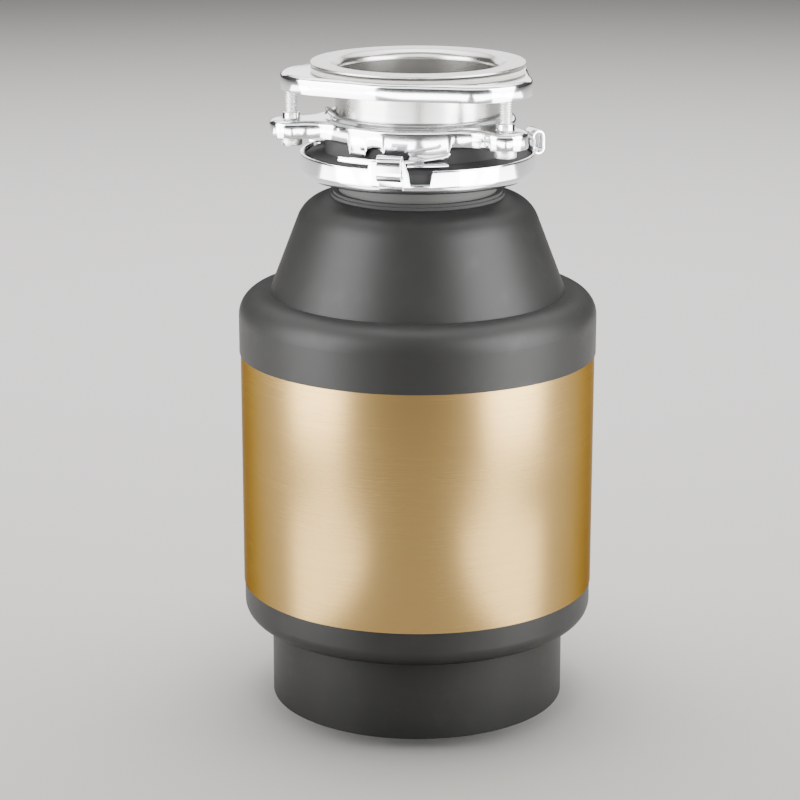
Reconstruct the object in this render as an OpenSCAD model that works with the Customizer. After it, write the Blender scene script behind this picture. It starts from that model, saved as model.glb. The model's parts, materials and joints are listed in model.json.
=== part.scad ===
// Household kitchen food waste disposer with its three-screw sink mount.
// Origin: on the vertical axis, at the underside of the base. +Z is up, -Y is the front.

/* [Outer body] */
// Outside diameter of the metal sleeve
sleeve_d = 191.5; // [180:0.5:235]
// Height of the metal sleeve
sleeve_h = 129; // [105:1:180]
// Thickness of the sleeve sheet
sleeve_t = 0.6; // [0.4:0.1:1.2]
// Height of the base below the dark band
base_h = 45; // [36:1:60]
// How far the base stands in from the sleeve, on the radius
base_inset = 15.5; // [13:0.5:20]
// Wall of the base cup
base_wall = 2.6; // [2:0.1:4]
// Floor of the base cup
floor_t = 4; // [3.6:0.2:6]
// Height of the dark band under the sleeve
band_h = 20.4; // [15:0.2:30]
// Radius of the rounded lower edge of the band
band_round = 9; // [4:0.5:11]
// How far the band stands in from the sleeve, on the radius
band_inset = 0.5; // [0.2:0.1:1.5]

/* [Top cover] */
// How far the cover stands out from the sleeve, on the radius
cover_lip = 0.65; // [0.3:0.05:1.5]
// Height of the straight rim of the cover
cover_rim_h = 20.1; // [12:0.1:30]
// Radius of the rounded shoulder
shoulder_round = 13; // [8:0.5:15]
// Height from the shoulder's crest to the top of the cover
cone_h = 51.5; // [42:0.5:65]
// Lean of the cone from the vertical, in degrees
cone_lean = 20.96; // [15:0.01:24]
// Radius of the round above the cone
cone_round = 18.4; // [12:0.1:22]
// Width of the groove between the shoulder and the cone
groove_w = 1.6; // [1:0.1:3]
// Depth of that groove
groove_deep = 2.6; // [1.5:0.1:4]
// Wall of the cover
cover_wall = 2.5; // [2:0.1:3.5]

/* [Neck and sink mount] */
// Outside diameter of the chamber's neck
neck_d = 84.4; // [76:0.2:88]
// Length of neck that shows between the cover and the lower ring
neck_show = 11; // [6:0.5:20]
// Outside diameter of the lower mounting ring
ring_d = 125.2; // [118:0.2:140]
// Height of the lower mounting ring's wall
ring_h = 13; // [10:0.5:18]
// Sheet thickness of the mounting hardware
mount_t = 1.5; // [1.2:0.1:1.8]
// Rise from the lower ring's floor to the upper ring's top face
upper_rise = 32; // [30:0.5:40]
// Rise from the upper ring's top face to the backup flange's top face
backup_rise = 24.5; // [20:0.5:32]
// Height of the skirts of the upper ring and of the backup flange
skirt_h = 9; // [6:0.5:11]
// How far the upper ring's skirt stands inside the lower ring, on the radius
upper_inset = 10.6; // [9:0.1:12]
// Radius of the hollow curves between the upper ring's ears and its round middle
ear_blend = 20; // [15:1:40]
// How far the backup flange's round middle stands inside the lower ring, on the radius
backup_inset = 4.6; // [3:0.1:7]
// Radius of the backup flange's three broad corners
backup_corner = 32; // [26:1:36]
// How far the mounting screws' circle stands outside the lower ring, on the radius
screw_out = 5.1; // [4:0.1:8]
// Diameter of the mounting screws
screw_d = 6.4; // [5:0.1:7]
// Diameter of the screw heads
screw_head_d = 11.5; // [9:0.1:12]

/* [Sink flange] */
// Diameter of the flange lip
lip_d = 114; // [112:0.5:120]
// Outside diameter of the flange tube
tube_d = 87.6; // [84:0.2:89]
// Inside radius of the bend from the lip into the tube
flange_bend = 3.7; // [3:0.1:5]
// Gap in which the sink's sheet is clamped
sink_gap = 1.1; // [0.6:0.1:2]
// Thickness of the sealing gasket under the sink
gasket_t = 1.4; // [1:0.1:3]

/* [Motor] */
// Diameter of the motor shaft
shaft_d = 16; // [14:0.5:18]
// Diameter of the rotor
rotor_d = 72; // [66:1:80]
// Air gap between the rotor and the stator
air_gap = 0.5; // [0.4:0.1:1]
// Height of the stator stack
stator_h = 45; // [37:1:55]
// Height of the winding ends above and below the stack
winding_h = 13; // [10:1:15]
// Gap between the base cup and the motor's frames
motor_gap = 11.4; // [8:0.2:16]
// Height of the space for wiring under the motor
wiring_h = 12; // [10:1:20]
// Height of the hub around each bearing
hub_h = 18; // [14:1:22]

/* [Grinding] */
// Height of the drain chamber under the turntable
drain_h = 37; // [37:1:44]
// Wall of the chamber and of the drain housing
chamber_wall = 3; // [2.5:0.1:4]
// Space for sound insulation outside the chamber
jacket_gap = 10.8; // [9:0.2:14]
// Height of the grind ring
grind_h = 28; // [22:1:32]
// Thickness of the turntable
table_t = 2.5; // [2:0.1:4]
// Radius of the circle on which the lugs pivot
lug_circle_r = 48; // [44:1:50]
// Length of a lug from its pivot to its long end
lug_reach = 23; // [19:1:23]
// Diameter of the lug pins
lug_pin_d = 8; // [6:0.5:9]

/* [Outlet] */
// Outside diameter of the discharge elbow
outlet_d = 38.1; // [34:0.1:38.6]
// Wall of the elbow
outlet_wall = 2; // [1.5:0.1:3]
// Centre line radius of the elbow's bend
elbow_bend = 27; // [24:1:36]
// Straight length at the elbow's lower end
elbow_tail = 34; // [25:1:45]
// Diameter of the hole for the supply cable
cable_hole_d = 22.2; // [16:0.1:23]

/* [Hidden] */
$fn = 96;

// Small overlap that keeps cuts clean
eps = 0.1;
// Gap between pieces that lie against each other without touching
fit_gap = 0.2;
// Gap between pieces that move past each other
move_gap = 0.4;
// Radial clearance of a running fit
run_gap = 0.05;

// Levels of the outer body
z_band = base_h;
z_sleeve = z_band + band_h;
z_cover = z_sleeve + sleeve_h;
z_crest = z_cover + cover_rim_h + shoulder_round;
z_top = z_crest + cone_h;
z_ring = z_top + neck_show;
z_rim = z_ring + ring_h;
z_upper = z_ring + upper_rise;
z_backup = z_upper + backup_rise;
z_lip = z_backup + gasket_t + sink_gap + mount_t;

// Radii of the outer body
sleeve_r = sleeve_d / 2;
sleeve_in = sleeve_r - sleeve_t;
base_r = sleeve_r - base_inset;
band_r = sleeve_r - band_inset;
cover_r = sleeve_r + cover_lip;
crest_flat = 1.3;
foot_r = cover_r - shoulder_round - groove_w - crest_flat;
spigot_h = 4;
ledge_w = 2.6;
outer_floor_t = 3;

// Round above the cone: its centre, and the height where it meets the cone
round_z = z_top - cone_round;
meet_z = round_z + cone_round * sin(cone_lean);
z_foot = z_crest - groove_deep;
meet_r = foot_r - (meet_z - z_foot) * tan(cone_lean);
round_r = meet_r - cone_round * cos(cone_lean);

// Neck and mount
neck_r = neck_d / 2;
neck_wall = 4.2;
neck_lip_w = 2.4;
neck_lip_h = 3;
neck_top_rise = 9;
neck_hole_gap = 1;
ring_r = ring_d / 2;
ring_round = 5;
upper_hub_r = ring_r - upper_inset;
backup_hub_r = ring_r - backup_inset;
screw_circle_r = ring_r + screw_out;
ring_floor_r = neck_r + neck_lip_w + neck_hole_gap;
screw_angles = [191, 311, 71];
loop_angles = [257, 17, 137];
tab_bottom = z_rim + 4;
ring_raise = 5;
lug_wall0 = -11;
lug_wall1 = 7;
lug_tongue0 = -29;
foot_out_r = ring_r - 2.1;
ear_r = 11.5;
backup_reach = screw_circle_r + screw_d / 2 + mount_t + 2 * fit_gap - backup_corner;
backup_side = 400;
screw_r = screw_d / 2;
head_r = screw_head_d / 2;
head_h = 5;
collar_h = 3.5;
collar_wall = 1.3;
lip_r = lip_d / 2;
tube_r = tube_d / 2;
tube_in = tube_r - mount_t;
bend_r = tube_r + flange_bend;
bend_z = z_lip - mount_t - flange_bend;
tube_foot = z_rim + 9.5;
seal_in = min(neck_r - neck_wall + 2, tube_in - 2.3);
wire_r = 1.2;
wire_at = tube_r + 0.7;
seat_hole_r = tube_r + 2.2;

// Motor
shaft_r = shaft_d / 2;
rotor_r = rotor_d / 2;
motor_r = base_r - base_wall - motor_gap;
frame_wall = 4;
stator_r = motor_r - frame_wall;
stator_in = rotor_r + air_gap;
z_hub = floor_t + wiring_h;
z_stator = z_hub + hub_h + winding_h + 1;
z_stator_top = z_stator + stator_h;
z_drain = z_stator_top + winding_h + 4;
port_in = outlet_d / 2 - outlet_wall - 0.55;
drain_space = max(drain_h, 2 * port_in + 4);
z_seat = z_drain + chamber_wall + drain_space;
z_table = z_seat + 2;
z_seal = z_table - 26;
seal_r = shaft_r + 5;
hub_r = shaft_r + 8;
bush_wall = 4;
bolt_circle_r = stator_r - 4.5;
bolt_angles = [45, 135, 225, 315];
bolt_r = 2.2;
slot_count = 24;
slot_w = 4.6;
slot_r0 = stator_in + 2;
slot_r1 = bolt_circle_r - bolt_r - 3.5;

// Grinding section
chamber_out = sleeve_in - jacket_gap;
chamber_in = chamber_out - chamber_wall;
flange_w = 6;
flange_t = 4;
chamber_screw_at = chamber_out + flange_w / 2;
seat_w = 5;
grind_in = chamber_in - 6.4;
table_r = grind_in - 0.7;
tooth_count = 24;
z_body_top = z_crest - 9.5;
cone_gap = 9;
z_cone_top = z_top - 17;
z_neck_foot = z_top - 11;
lug_t = 4;
lug_head_t = 12;
lug_w = 15;
z_lug = z_table + table_t + move_gap;
pin_r = lug_pin_d / 2;
nut_r = shaft_r + 1.5;
nut_h = 6.5;
chamber_screw_angles = [for (i = [0 : 7]) 22.5 + i * 45];
chamber_screw_r = 1.6;

// Outlet
port_wall = 3;
z_port = z_drain + chamber_wall + port_in + 0.5;
port_face = sleeve_r + 2.5;
port_flange_t = 7;
port_end_r = outlet_d / 2 + 2.95;
port_ear = port_end_r + 6;
port_ear_r = 7.5;
outlet_r = outlet_d / 2;
outlet_screw_r = 2.2;
clamp_t = 2.5;

// Base details
wrench_r = 11;
wrench_h = 8;
base_screw_circle = 52;
base_screw_angles = [30, 150, 270];
base_screw_r = 2;
reset_at = [-40, -25];
reset_r = 5.5;
reset_travel = 2.5;
reset_stand = 0.7;
wiring_at = [0, 48];
wiring_size = [46, 26];
wiring_margin = 5;
wiring_seat = 2.8;
wiring_screw_x = wiring_at[0] + wiring_size[0] / 2 + 2.5;
cable_r = cable_hole_d / 2;
z_cable = 22;
pad_r = cable_r + 4.5;

// Radius of the cone's outside at a height
function cone_r(z) = foot_r - (z - z_foot) * tan(cone_lean);

// Straight tube standing on a height
module tube_ring(r_out, r_in, z0, h) {
    translate([0, 0, z0])
        difference() {
            cylinder(r = r_out, h = h);
            translate([0, 0, -eps]) cylinder(r = r_in, h = h + 2 * eps);
        }
}

// Part of a tube between two angles
module tube_sector(r_out, r_in, z0, h, a0, a1) {
    translate([0, 0, z0])
        rotate(a0)
            rotate_extrude(angle = a1 - a0)
                translate([r_in, 0]) square([r_out - r_in, h]);
}

// Copies of the children on a circle
module around(angles, r) {
    for (a = angles)
        rotate(a) translate([r, 0, 0]) children();
}

// Points along an arc, both ends included
function arc_points(at, r, a0, a1, n) =
    [for (i = [0 : n]) at + r * [cos(a0 + (a1 - a0) * i / n), sin(a0 + (a1 - a0) * i / n)]];

// Points of one lobe at angle a, the curves beside it, and the hub arc that follows
function lobe_points(hub, end, reach, blend, a) =
    let (far = hub + blend,
        side = acos((far ^ 2 + reach ^ 2 - (end + blend) ^ 2) / (2 * far * reach)),
        turn = atan2(far * sin(side), far * cos(side) - reach))
    concat(arc_points(far * [cos(a - side), sin(a - side)], blend, a - side + 180, a - turn + 180, 10),
        arc_points(reach * [cos(a), sin(a)], end, a - turn + 1, a + turn - 1, 24),
        arc_points(far * [cos(a + side), sin(a + side)], blend, a + turn + 180, a + side + 180, 10),
        arc_points([0, 0], hub, a + side + 1, a + 119 - side, 16));

// Round plate outline with three lobes, its sides curved inwards with the radius blend
module lobed(hub, end, reach, blend, a) {
    polygon([for (i = [0 : 2]) each lobe_points(hub, end, reach, blend, a + 120 * i)]);
}

// Slice of a disc between two angles
module slice(r, a0, a1) {
    polygon(concat([[0, 0]], arc_points([0, 0], r, a0, a1, 4)));
}

// Plate with lobes and a skirt turned down around its edge
module skirted_plate(hub, end, reach, blend, a, top, skirt) {
    translate([0, 0, top - skirt])
        difference() {
            linear_extrude(skirt) lobed(hub, end, reach, blend, a);
            translate([0, 0, -eps])
                linear_extrude(skirt - mount_t + eps)
                    lobed(hub - mount_t, end - mount_t, reach, blend + mount_t, a);
        }
}

// Flat shape with two round ends, centred, its long way along X
module stadium(half, r) {
    polygon(concat(arc_points([half, 0], r, -90, 90, 24), arc_points([-half, 0], r, 90, 270, 24)));
}

// Slab of that shape with its thickness along Y
module stadium_slab(half, r, y0, t) {
    translate([0, y0 + t, z_port])
        rotate([90, 0, 0])
            linear_extrude(t) stadium(half, r);
}

// Cylinder along +Y at the outlet's height
module port_rod(r, y0, len) {
    translate([0, y0, z_port])
        rotate([-90, 0, 0]) cylinder(r = r, h = len);
}

// Solid outline of the cover, moved inwards by an inset
module cover_outline(inset) {
    square_top = z_crest - shoulder_round;
    translate([0, z_cover]) square([cover_r - inset, square_top - z_cover]);
    translate([0, z_cover]) square([cover_r - shoulder_round, z_crest - inset - z_cover]);
    translate([cover_r - shoulder_round, square_top]) circle(r = shoulder_round - inset);
    polygon([[0, z_foot - inset], [cone_r(z_foot) - inset, z_foot - inset],
        [meet_r - inset * cos(cone_lean), meet_z - inset * sin(cone_lean)], [0, meet_z]]);
    translate([round_r, round_z]) circle(r = cone_round - inset);
    translate([0, round_z]) square([round_r, cone_round - inset]);
}

// Solid outline of the chamber above its seat, moved inwards by an inset
module chamber_outline(inset) {
    body_round = 10;
    translate([0, z_seat]) square([chamber_out - inset, z_body_top - body_round - z_seat]);
    translate([0, z_seat]) square([chamber_out - body_round, z_body_top - inset - z_seat]);
    translate([chamber_out - body_round, z_body_top - body_round]) circle(r = body_round - inset);
    polygon([[0, z_body_top - inset - 1], [cone_r(z_body_top) - cone_gap - inset, z_body_top - inset - 1],
        [cone_r(z_cone_top) - cone_gap - inset, z_cone_top - inset * 0.5],
        [neck_r, z_neck_foot - inset], [0, z_neck_foot - inset]]);
}

// ---- Sink mount ----

module sink_flange() {
    color("lightgray")
        difference() {
            rotate_extrude() {
                translate([tube_in, tube_foot]) square([mount_t, bend_z - tube_foot]);
                intersection() {
                    translate([bend_r, bend_z])
                        difference() {
                            circle(r = flange_bend + mount_t);
                            circle(r = flange_bend);
                        }
                    translate([tube_in, bend_z]) square([bend_r - tube_in, flange_bend + mount_t]);
                }
                translate([bend_r, z_lip - mount_t]) square([lip_r - bend_r - mount_t / 2, mount_t]);
                translate([lip_r - mount_t / 2, z_lip - mount_t / 2]) circle(r = mount_t / 2);
            }
            snap_groove();
        }
}

// Groove in the tube that the snap ring grips
module snap_groove() {
    translate([0, 0, z_upper])
        rotate_extrude() translate([wire_at, 0]) circle(r = wire_r + run_gap);
}

module snap_ring() {
    gap_angle = 14;
    color("dimgray")
        translate([0, 0, z_upper])
            rotate(180 + gap_angle)
                rotate_extrude(angle = 360 - gap_angle)
                    translate([wire_at, 0]) circle(r = wire_r);
}

module sink_gasket() {
    color("gray") tube_ring(lip_r - 0.4, bend_r + 0.3, z_backup, gasket_t);
}

module backup_flange() {
    color("silver")
        difference() {
            skirted_plate(backup_hub_r, backup_corner, backup_reach, backup_side, screw_angles[0],
                z_backup, skirt_h);
            translate([0, 0, z_backup - skirt_h]) cylinder(r = tube_r + 0.9, h = skirt_h + eps);
        }
}

module upper_mounting_ring() {
    deep = z_upper - tab_bottom;
    tab_half = 30.5;
    color("silver")
        difference() {
            union() {
                skirted_plate(upper_hub_r, ear_r, screw_circle_r, ear_blend, screw_angles[0],
                    z_upper, deep);
                around(screw_angles, screw_circle_r)
                    translate([0, 0, z_upper - eps])
                        cylinder(r = screw_r + collar_wall, h = collar_h + eps);
                for (a = loop_angles)
                    upper_foot(a);
                upper_seat_rim();
            }
            for (a = loop_angles)
                translate([0, 0, tab_bottom - eps])
                    linear_extrude(deep - skirt_h + eps)
                        slice(2 * screw_circle_r, a + tab_half, a + 120 - tab_half);
            translate([0, 0, z_upper - skirt_h - eps])
                cylinder(r = seat_hole_r, h = skirt_h + 5);
            around(screw_angles, screw_circle_r)
                translate([0, 0, z_upper - mount_t - eps])
                    cylinder(r = screw_r + run_gap, h = mount_t + collar_h + 2 * eps);
            for (a = loop_angles)
                rotate(a - 13)
                    translate([upper_hub_r - mount_t - 1, 0, tab_bottom])
                        rotate([0, 90, 0]) cylinder(r = 5.6, h = mount_t + 2);
        }
}

// Raised rim around the upper ring's hole, which closes over the snap ring
module upper_seat_rim() {
    rim_w = 3;
    rim_rise = 1.4;
    translate([0, 0, z_upper - eps])
        rotate_extrude()
            polygon([[seat_hole_r, 0], [seat_hole_r + rim_w, 0],
                [seat_hole_r + 1, rim_rise + eps], [seat_hole_r, rim_rise + eps]]);
}

// Foot at the lower edge of a tab, on which the ramp of the lower ring bears
module upper_foot(a) {
    foot0 = 7;
    foot1 = 28;
    foot_top = z_rim + ring_raise - mount_t - 3 * fit_gap;
    tube_sector(upper_hub_r - 0.3, upper_hub_r - mount_t + 0.3, foot_top - mount_t / 2,
        tab_bottom - foot_top + mount_t, a + foot0 + 1, a + foot1 - 12);
    tube_sector(foot_out_r, upper_hub_r - mount_t, foot_top - mount_t, mount_t, a + foot0, a + foot1);
}

module mounting_screw(a) {
    tip = z_backup - mount_t - move_gap;
    shoulder = z_upper - skirt_h;
    driver_w = 1.6;
    driver_deep = 1.8;
    color("gainsboro")
        rotate(a)
            translate([screw_circle_r, 0, 0])
                difference() {
                    union() {
                        translate([0, 0, shoulder - eps])
                            cylinder(r = screw_r, h = tip - shoulder + eps);
                        translate([0, 0, shoulder - head_h]) cylinder(r = head_r, h = head_h);
                    }
                    translate([-head_r - eps, -driver_w / 2, shoulder - head_h - eps])
                        cube([2 * head_r + 2 * eps, driver_w, driver_deep + eps]);
                }
}

module mounting_screw_left() {
    mounting_screw(screw_angles[0]);
}

module mounting_screw_right() {
    mounting_screw(screw_angles[1]);
}

module mounting_screw_rear() {
    mounting_screw(screw_angles[2]);
}

module lower_mounting_ring() {
    wall_top = z_rim + ring_raise;
    bend_at = ring_r - ring_round;
    color("silver") {
        difference() {
            rotate_extrude() {
                translate([ring_floor_r, z_ring]) square([bend_at - ring_floor_r + 0.01, mount_t]);
                intersection() {
                    translate([bend_at, z_ring + ring_round])
                        difference() {
                            circle(r = ring_round);
                            circle(r = ring_round - mount_t);
                        }
                    translate([bend_at, z_ring]) square([ring_round, ring_round]);
                }
                translate([ring_r - mount_t, z_ring + ring_round])
                    square([mount_t, wall_top - z_ring - ring_round]);
            }
            for (a = loop_angles)
                ring_cuts(a);
        }
        for (a = loop_angles) {
            ring_loop(a);
            ring_ramp(a);
        }
    }
}

// Cuts that leave one lug's raised wall and its tongue, and open the window beside it
module ring_cuts(a) {
    out = ring_r + 1;
    in = ring_r - mount_t - 1;
    tongue_t = 2.8;
    window_deep = 7;
    tube_sector(out, in, z_rim, ring_raise + 1, a + lug_wall1, a + 120 + lug_tongue0);
    tube_sector(out, in, z_rim, ring_raise - tongue_t, a + lug_tongue0 - 1, a + lug_wall0);
    tube_sector(out, in, z_rim - window_deep, window_deep + 1, a + lug_wall1 + 1.5, a + lug_wall1 + 12);
}

// Loop for the tool that turns the ring, on its strap
module ring_loop(a) {
    loop_w = 13;
    loop_r = 3.7;
    loop_half = 3;
    loop_z = z_rim + 1.6;
    strap_foot = z_ring + 3;
    rotate(a)
        translate([ring_r - 1, -loop_w / 2 + 0.5, strap_foot])
            cube([1.9, loop_w - 1, loop_z - loop_half - strap_foot]);
    rotate(a)
        translate([ring_r + loop_r - 0.5, loop_w / 2, loop_z])
            rotate([90, 0, 0])
                linear_extrude(loop_w)
                    difference() {
                        rotate(90) stadium(loop_half, loop_r);
                        rotate(90) stadium(loop_half, loop_r - mount_t);
                    }
}

// Ramp that draws the tab's foot down as the ring turns
module ring_ramp(a) {
    ramp_in = foot_out_r - 1.3;
    ramp_span = 22.5;
    ramp_lean = 8;
    middle = (ring_r + ramp_in) / 2;
    rotate(a + lug_wall1)
        translate([middle, 0, z_rim + ring_raise])
            rotate([ramp_lean, 0, 0])
                translate([-middle, 0, -mount_t])
                    rotate(-1)
                        rotate_extrude(angle = ramp_span)
                            translate([ramp_in, 0]) square([ring_r - ramp_in - 0.05, mount_t]);
}

module mounting_gasket() {
    outer = ring_r - mount_t - 0.8;
    foot = z_ring + mount_t + 0.7;
    lip_z = z_ring + neck_top_rise;
    top = tube_foot - 0.05;
    dome = upper_hub_r - mount_t - 0.8;
    color([0.08, 0.08, 0.08])
        difference() {
            rotate_extrude()
                polygon([[neck_r + fit_gap, foot], [outer - 2, foot], [outer, foot + 2],
                    [outer, z_rim - 2.5], [outer - 2.5, z_rim - 0.6], [dome, z_rim + 0.8],
                    [dome - 0.6, top - 1.5], [dome - 2.5, top], [seal_in, top],
                    [seal_in, foot]]);
            translate([0, 0, foot - eps])
                cylinder(r = neck_r + fit_gap, h = lip_z - foot + fit_gap + eps);
            translate([0, 0, lip_z - neck_lip_h - fit_gap])
                cylinder(r = neck_r + neck_lip_w + fit_gap, h = neck_lip_h + 2 * fit_gap);
        }
}

module splash_baffle() {
    rim_out = seal_in - fit_gap;
    rim_in = rim_out - 3;
    base = z_ring + neck_top_rise + 0.4;
    flap_t = 1.5;
    flap_count = 8;
    slit_w = 1;
    eye_r = 7;
    color([0.1, 0.1, 0.1])
        difference() {
            union() {
                tube_ring(rim_out, rim_in, base, tube_foot - base - 1);
                translate([0, 0, base]) cylinder(r = rim_in + eps, h = flap_t);
            }
            translate([0, 0, base - eps]) cylinder(r = eye_r, h = flap_t + 2 * eps);
            for (i = [0 : flap_count - 1])
                rotate(i * 360 / flap_count)
                    translate([eye_r - 1, -slit_w / 2, base - eps])
                        cube([rim_in - eye_r - 2, slit_w, flap_t + 2 * eps]);
        }
}

// ---- Outer body ----

module neck_grommet() {
    lower_r = neck_r + 4;
    color([0.12, 0.12, 0.12]) {
        tube_ring(lower_r, neck_r + fit_gap, z_top + 0.05, 1.6);
        tube_ring(lower_r - 1.2, neck_r + fit_gap, z_top + 1.6, 1.5);
        tube_ring(neck_r + 1.3, neck_r + fit_gap, z_top - cover_wall - 1, cover_wall + 1.1);
    }
}

module top_cover() {
    color([0.2, 0.2, 0.19])
        difference() {
            rotate_extrude()
                intersection() {
                    cover_outline(0);
                    square([cover_r + 1, z_top + 1]);
                }
            rotate_extrude()
                intersection() {
                    union() {
                        cover_outline(cover_wall);
                        translate([0, z_cover - 1]) square([cover_r - cover_wall, 2]);
                    }
                    square([cover_r + 1, z_top + 1]);
                }
            translate([0, 0, z_top - cone_round]) cylinder(r = neck_r + 1.5, h = cone_round + 1);
        }
    color([0.2, 0.2, 0.19])
        tube_ring(sleeve_in - fit_gap, cover_r - cover_wall - 1, z_cover - spigot_h, spigot_h + 2);
}

module sleeve() {
    color([0.78, 0.66, 0.46])
        difference() {
            tube_ring(sleeve_r, sleeve_in, z_sleeve, sleeve_h);
            translate([0, sleeve_r, z_port])
                rotate([90, 0, 0])
                    linear_extrude(sleeve_r / 2, center = true) stadium(port_ear, port_end_r - 7);
            port_rod(port_end_r + 1.5, sleeve_r / 2, sleeve_r);
        }
}

module lower_band() {
    inner_r = band_r - outer_floor_t;
    ledge_r = base_r - ledge_w;
    round_at = [band_r - band_round, z_band + band_round];
    color([0.2, 0.2, 0.19])
        rotate_extrude()
            difference() {
                union() {
                    translate([ledge_r, z_band]) square([round_at[0] - ledge_r, band_h]);
                    translate([base_r, round_at[1]]) square([band_r - base_r, band_h - band_round]);
                    translate([ledge_r, z_sleeve - eps])
                        square([sleeve_in - fit_gap - ledge_r, spigot_h + eps]);
                    intersection() {
                        translate(round_at) circle(r = band_round);
                        translate([base_r, z_band]) square([band_r - base_r, band_h]);
                    }
                }
                translate([0, z_band + outer_floor_t])
                    square([round_at[0], band_h + spigot_h + 1]);
                translate([0, round_at[1]]) square([inner_r, band_h + spigot_h + 1]);
                translate(round_at) circle(r = band_round - outer_floor_t);
            }
}

module base_cover() {
    boss_r = 4.8;
    pocket_r = reset_r + 2.5;
    pocket_h = 6;
    pocket_t = 2;
    color([0.2, 0.2, 0.19])
        difference() {
            union() {
                difference() {
                    cylinder(r = base_r, h = z_band);
                    translate([0, 0, floor_t]) cylinder(r = base_r - base_wall - ledge_w, h = z_band);
                    translate([0, 0, floor_t])
                        cylinder(r = base_r - base_wall, h = z_band - floor_t - 6);
                }
                tube_ring(base_r - ledge_w - fit_gap, base_r - base_wall - ledge_w, z_band - eps, 5);
                cylinder(r = wrench_r + 3, h = wrench_h);
                translate([reset_at[0], reset_at[1], 0])
                    cylinder(r = pocket_r + 2, h = pocket_h + pocket_t);
                around(base_screw_angles, base_screw_circle)
                    cylinder(r = boss_r, h = z_hub + 4 - fit_gap);
                intersection() {
                    translate([0, base_r - 7, z_cable])
                        rotate([-90, 0, 0]) cylinder(r = pad_r, h = 8.5);
                    cylinder(r = base_r + 1.5, h = z_band);
                }
            }
            translate([0, 0, -eps]) cylinder(r = wrench_r, h = wrench_h + 2 * eps);
            translate([reset_at[0], reset_at[1], -eps]) {
                cylinder(r = pocket_r, h = pocket_h + eps);
                cylinder(r = reset_r - 2 + move_gap, h = pocket_h + pocket_t + 2 * eps);
            }
            around(base_screw_angles, base_screw_circle) {
                translate([0, 0, -eps]) cylinder(r = base_screw_r + 0.2, h = z_hub + 5);
                translate([0, 0, -eps]) cylinder(r = base_screw_r + 2.6, h = 3.6 + eps);
            }
            wiring_slab(0, -eps, floor_t + 2 * eps);
            wiring_slab(wiring_margin, -eps, wiring_seat + eps);
            translate([wiring_screw_x, wiring_at[1], -eps]) cylinder(r = 1.6, h = floor_t + 2 * eps);
            translate([0, base_r - 12, z_cable])
                rotate([-90, 0, 0]) cylinder(r = cable_r + 2.2, h = 20);
        }
}

module base_screws() {
    color("gray")
        around(base_screw_angles, base_screw_circle)
            difference() {
                union() {
                    translate([0, 0, 0.8]) cylinder(r = base_screw_r + 2, h = 2.8);
                    translate([0, 0, 3]) cylinder(r = base_screw_r, h = z_hub + 6 - 3);
                }
                for (s = [0, 90])
                    rotate(s) translate([-2.2, -0.4, 0]) cube([4.4, 0.8, 2]);
            }
}

module wiring_cover() {
    plate_t = 1.5;
    color([0.25, 0.25, 0.25])
        difference() {
            wiring_slab(wiring_margin - fit_gap, wiring_seat - plate_t, plate_t);
            translate([wiring_screw_x, wiring_at[1], 0]) cylinder(r = 1.6, h = floor_t);
        }
}

// Slab over the wiring opening, a margin wider than the opening all round
module wiring_slab(margin, z0, h) {
    translate([wiring_at[0] - wiring_size[0] / 2 - margin, wiring_at[1] - wiring_size[1] / 2 - margin, z0])
        cube([wiring_size[0] + 2 * margin, wiring_size[1] + 2 * margin, h]);
}

module wiring_cover_screw() {
    color("gray")
        translate([wiring_screw_x, wiring_at[1], 0])
            difference() {
                union() {
                    translate([0, 0, 0.1]) cylinder(r = 2.2, h = 1.2);
                    translate([0, 0, 1.2]) cylinder(r = 1.5, h = 6);
                }
                translate([-1.6, -0.3, 0]) cube([3.2, 0.6, 0.8]);
            }
}

module cable_bushing() {
    color([0.15, 0.15, 0.15])
        translate([0, base_r, z_cable])
            rotate([-90, 0, 0])
                difference() {
                    union() {
                        translate([0, 0, -10]) cylinder(r = cable_r + 2, h = 12);
                        translate([0, 0, 1.6]) cylinder(r = cable_r + 4, h = 2);
                    }
                    translate([0, 0, -11]) cylinder(r = cable_r, h = 16);
                }
}

// ---- Grinding section ----

module grind_chamber() {
    neck_end = z_ring + neck_top_rise;
    color([0.17, 0.17, 0.17])
        difference() {
            union() {
                rotate_extrude()
                    intersection() {
                        chamber_outline(0);
                        square([chamber_out + 1, z_top]);
                    }
                tube_ring(chamber_out + flange_w, chamber_out - 1, z_seat, flange_t);
                translate([0, 0, z_neck_foot - chamber_wall])
                    cylinder(r = neck_r, h = neck_end - z_neck_foot + chamber_wall);
                translate([0, 0, neck_end - neck_lip_h]) cylinder(r = neck_r + neck_lip_w, h = neck_lip_h);
            }
            rotate_extrude()
                intersection() {
                    union() {
                        chamber_outline(chamber_wall);
                        translate([0, z_seat - 1]) square([chamber_in, 2]);
                    }
                    square([chamber_out, z_top]);
                }
            translate([0, 0, z_seat]) cylinder(r = neck_r - neck_wall, h = neck_end);
            around(chamber_screw_angles, chamber_screw_at)
                translate([0, 0, z_seat - eps]) cylinder(r = chamber_screw_r + 0.1, h = flange_t + 2 * eps);
        }
}

module sound_jacket() {
    outer = sleeve_in - spigot_h - 0.4;
    foot = z_seat + flange_t + 4;
    color([0.35, 0.35, 0.37])
        tube_ring(outer, chamber_out + fit_gap, foot, z_body_top - 12 - foot);
}

module chamber_seal() {
    color([0.1, 0.1, 0.1]) tube_ring(chamber_in - 1.8, chamber_in - 4.4, z_seat - 1.2, 1.2);
}

module chamber_screws() {
    color("gray")
        around(chamber_screw_angles, chamber_screw_at) {
            translate([0, 0, z_seat + flange_t]) cylinder(r = chamber_screw_r + 1.2, h = 2.4);
            translate([0, 0, z_seat - flange_t]) cylinder(r = chamber_screw_r, h = 2 * flange_t + eps);
        }
}

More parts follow.
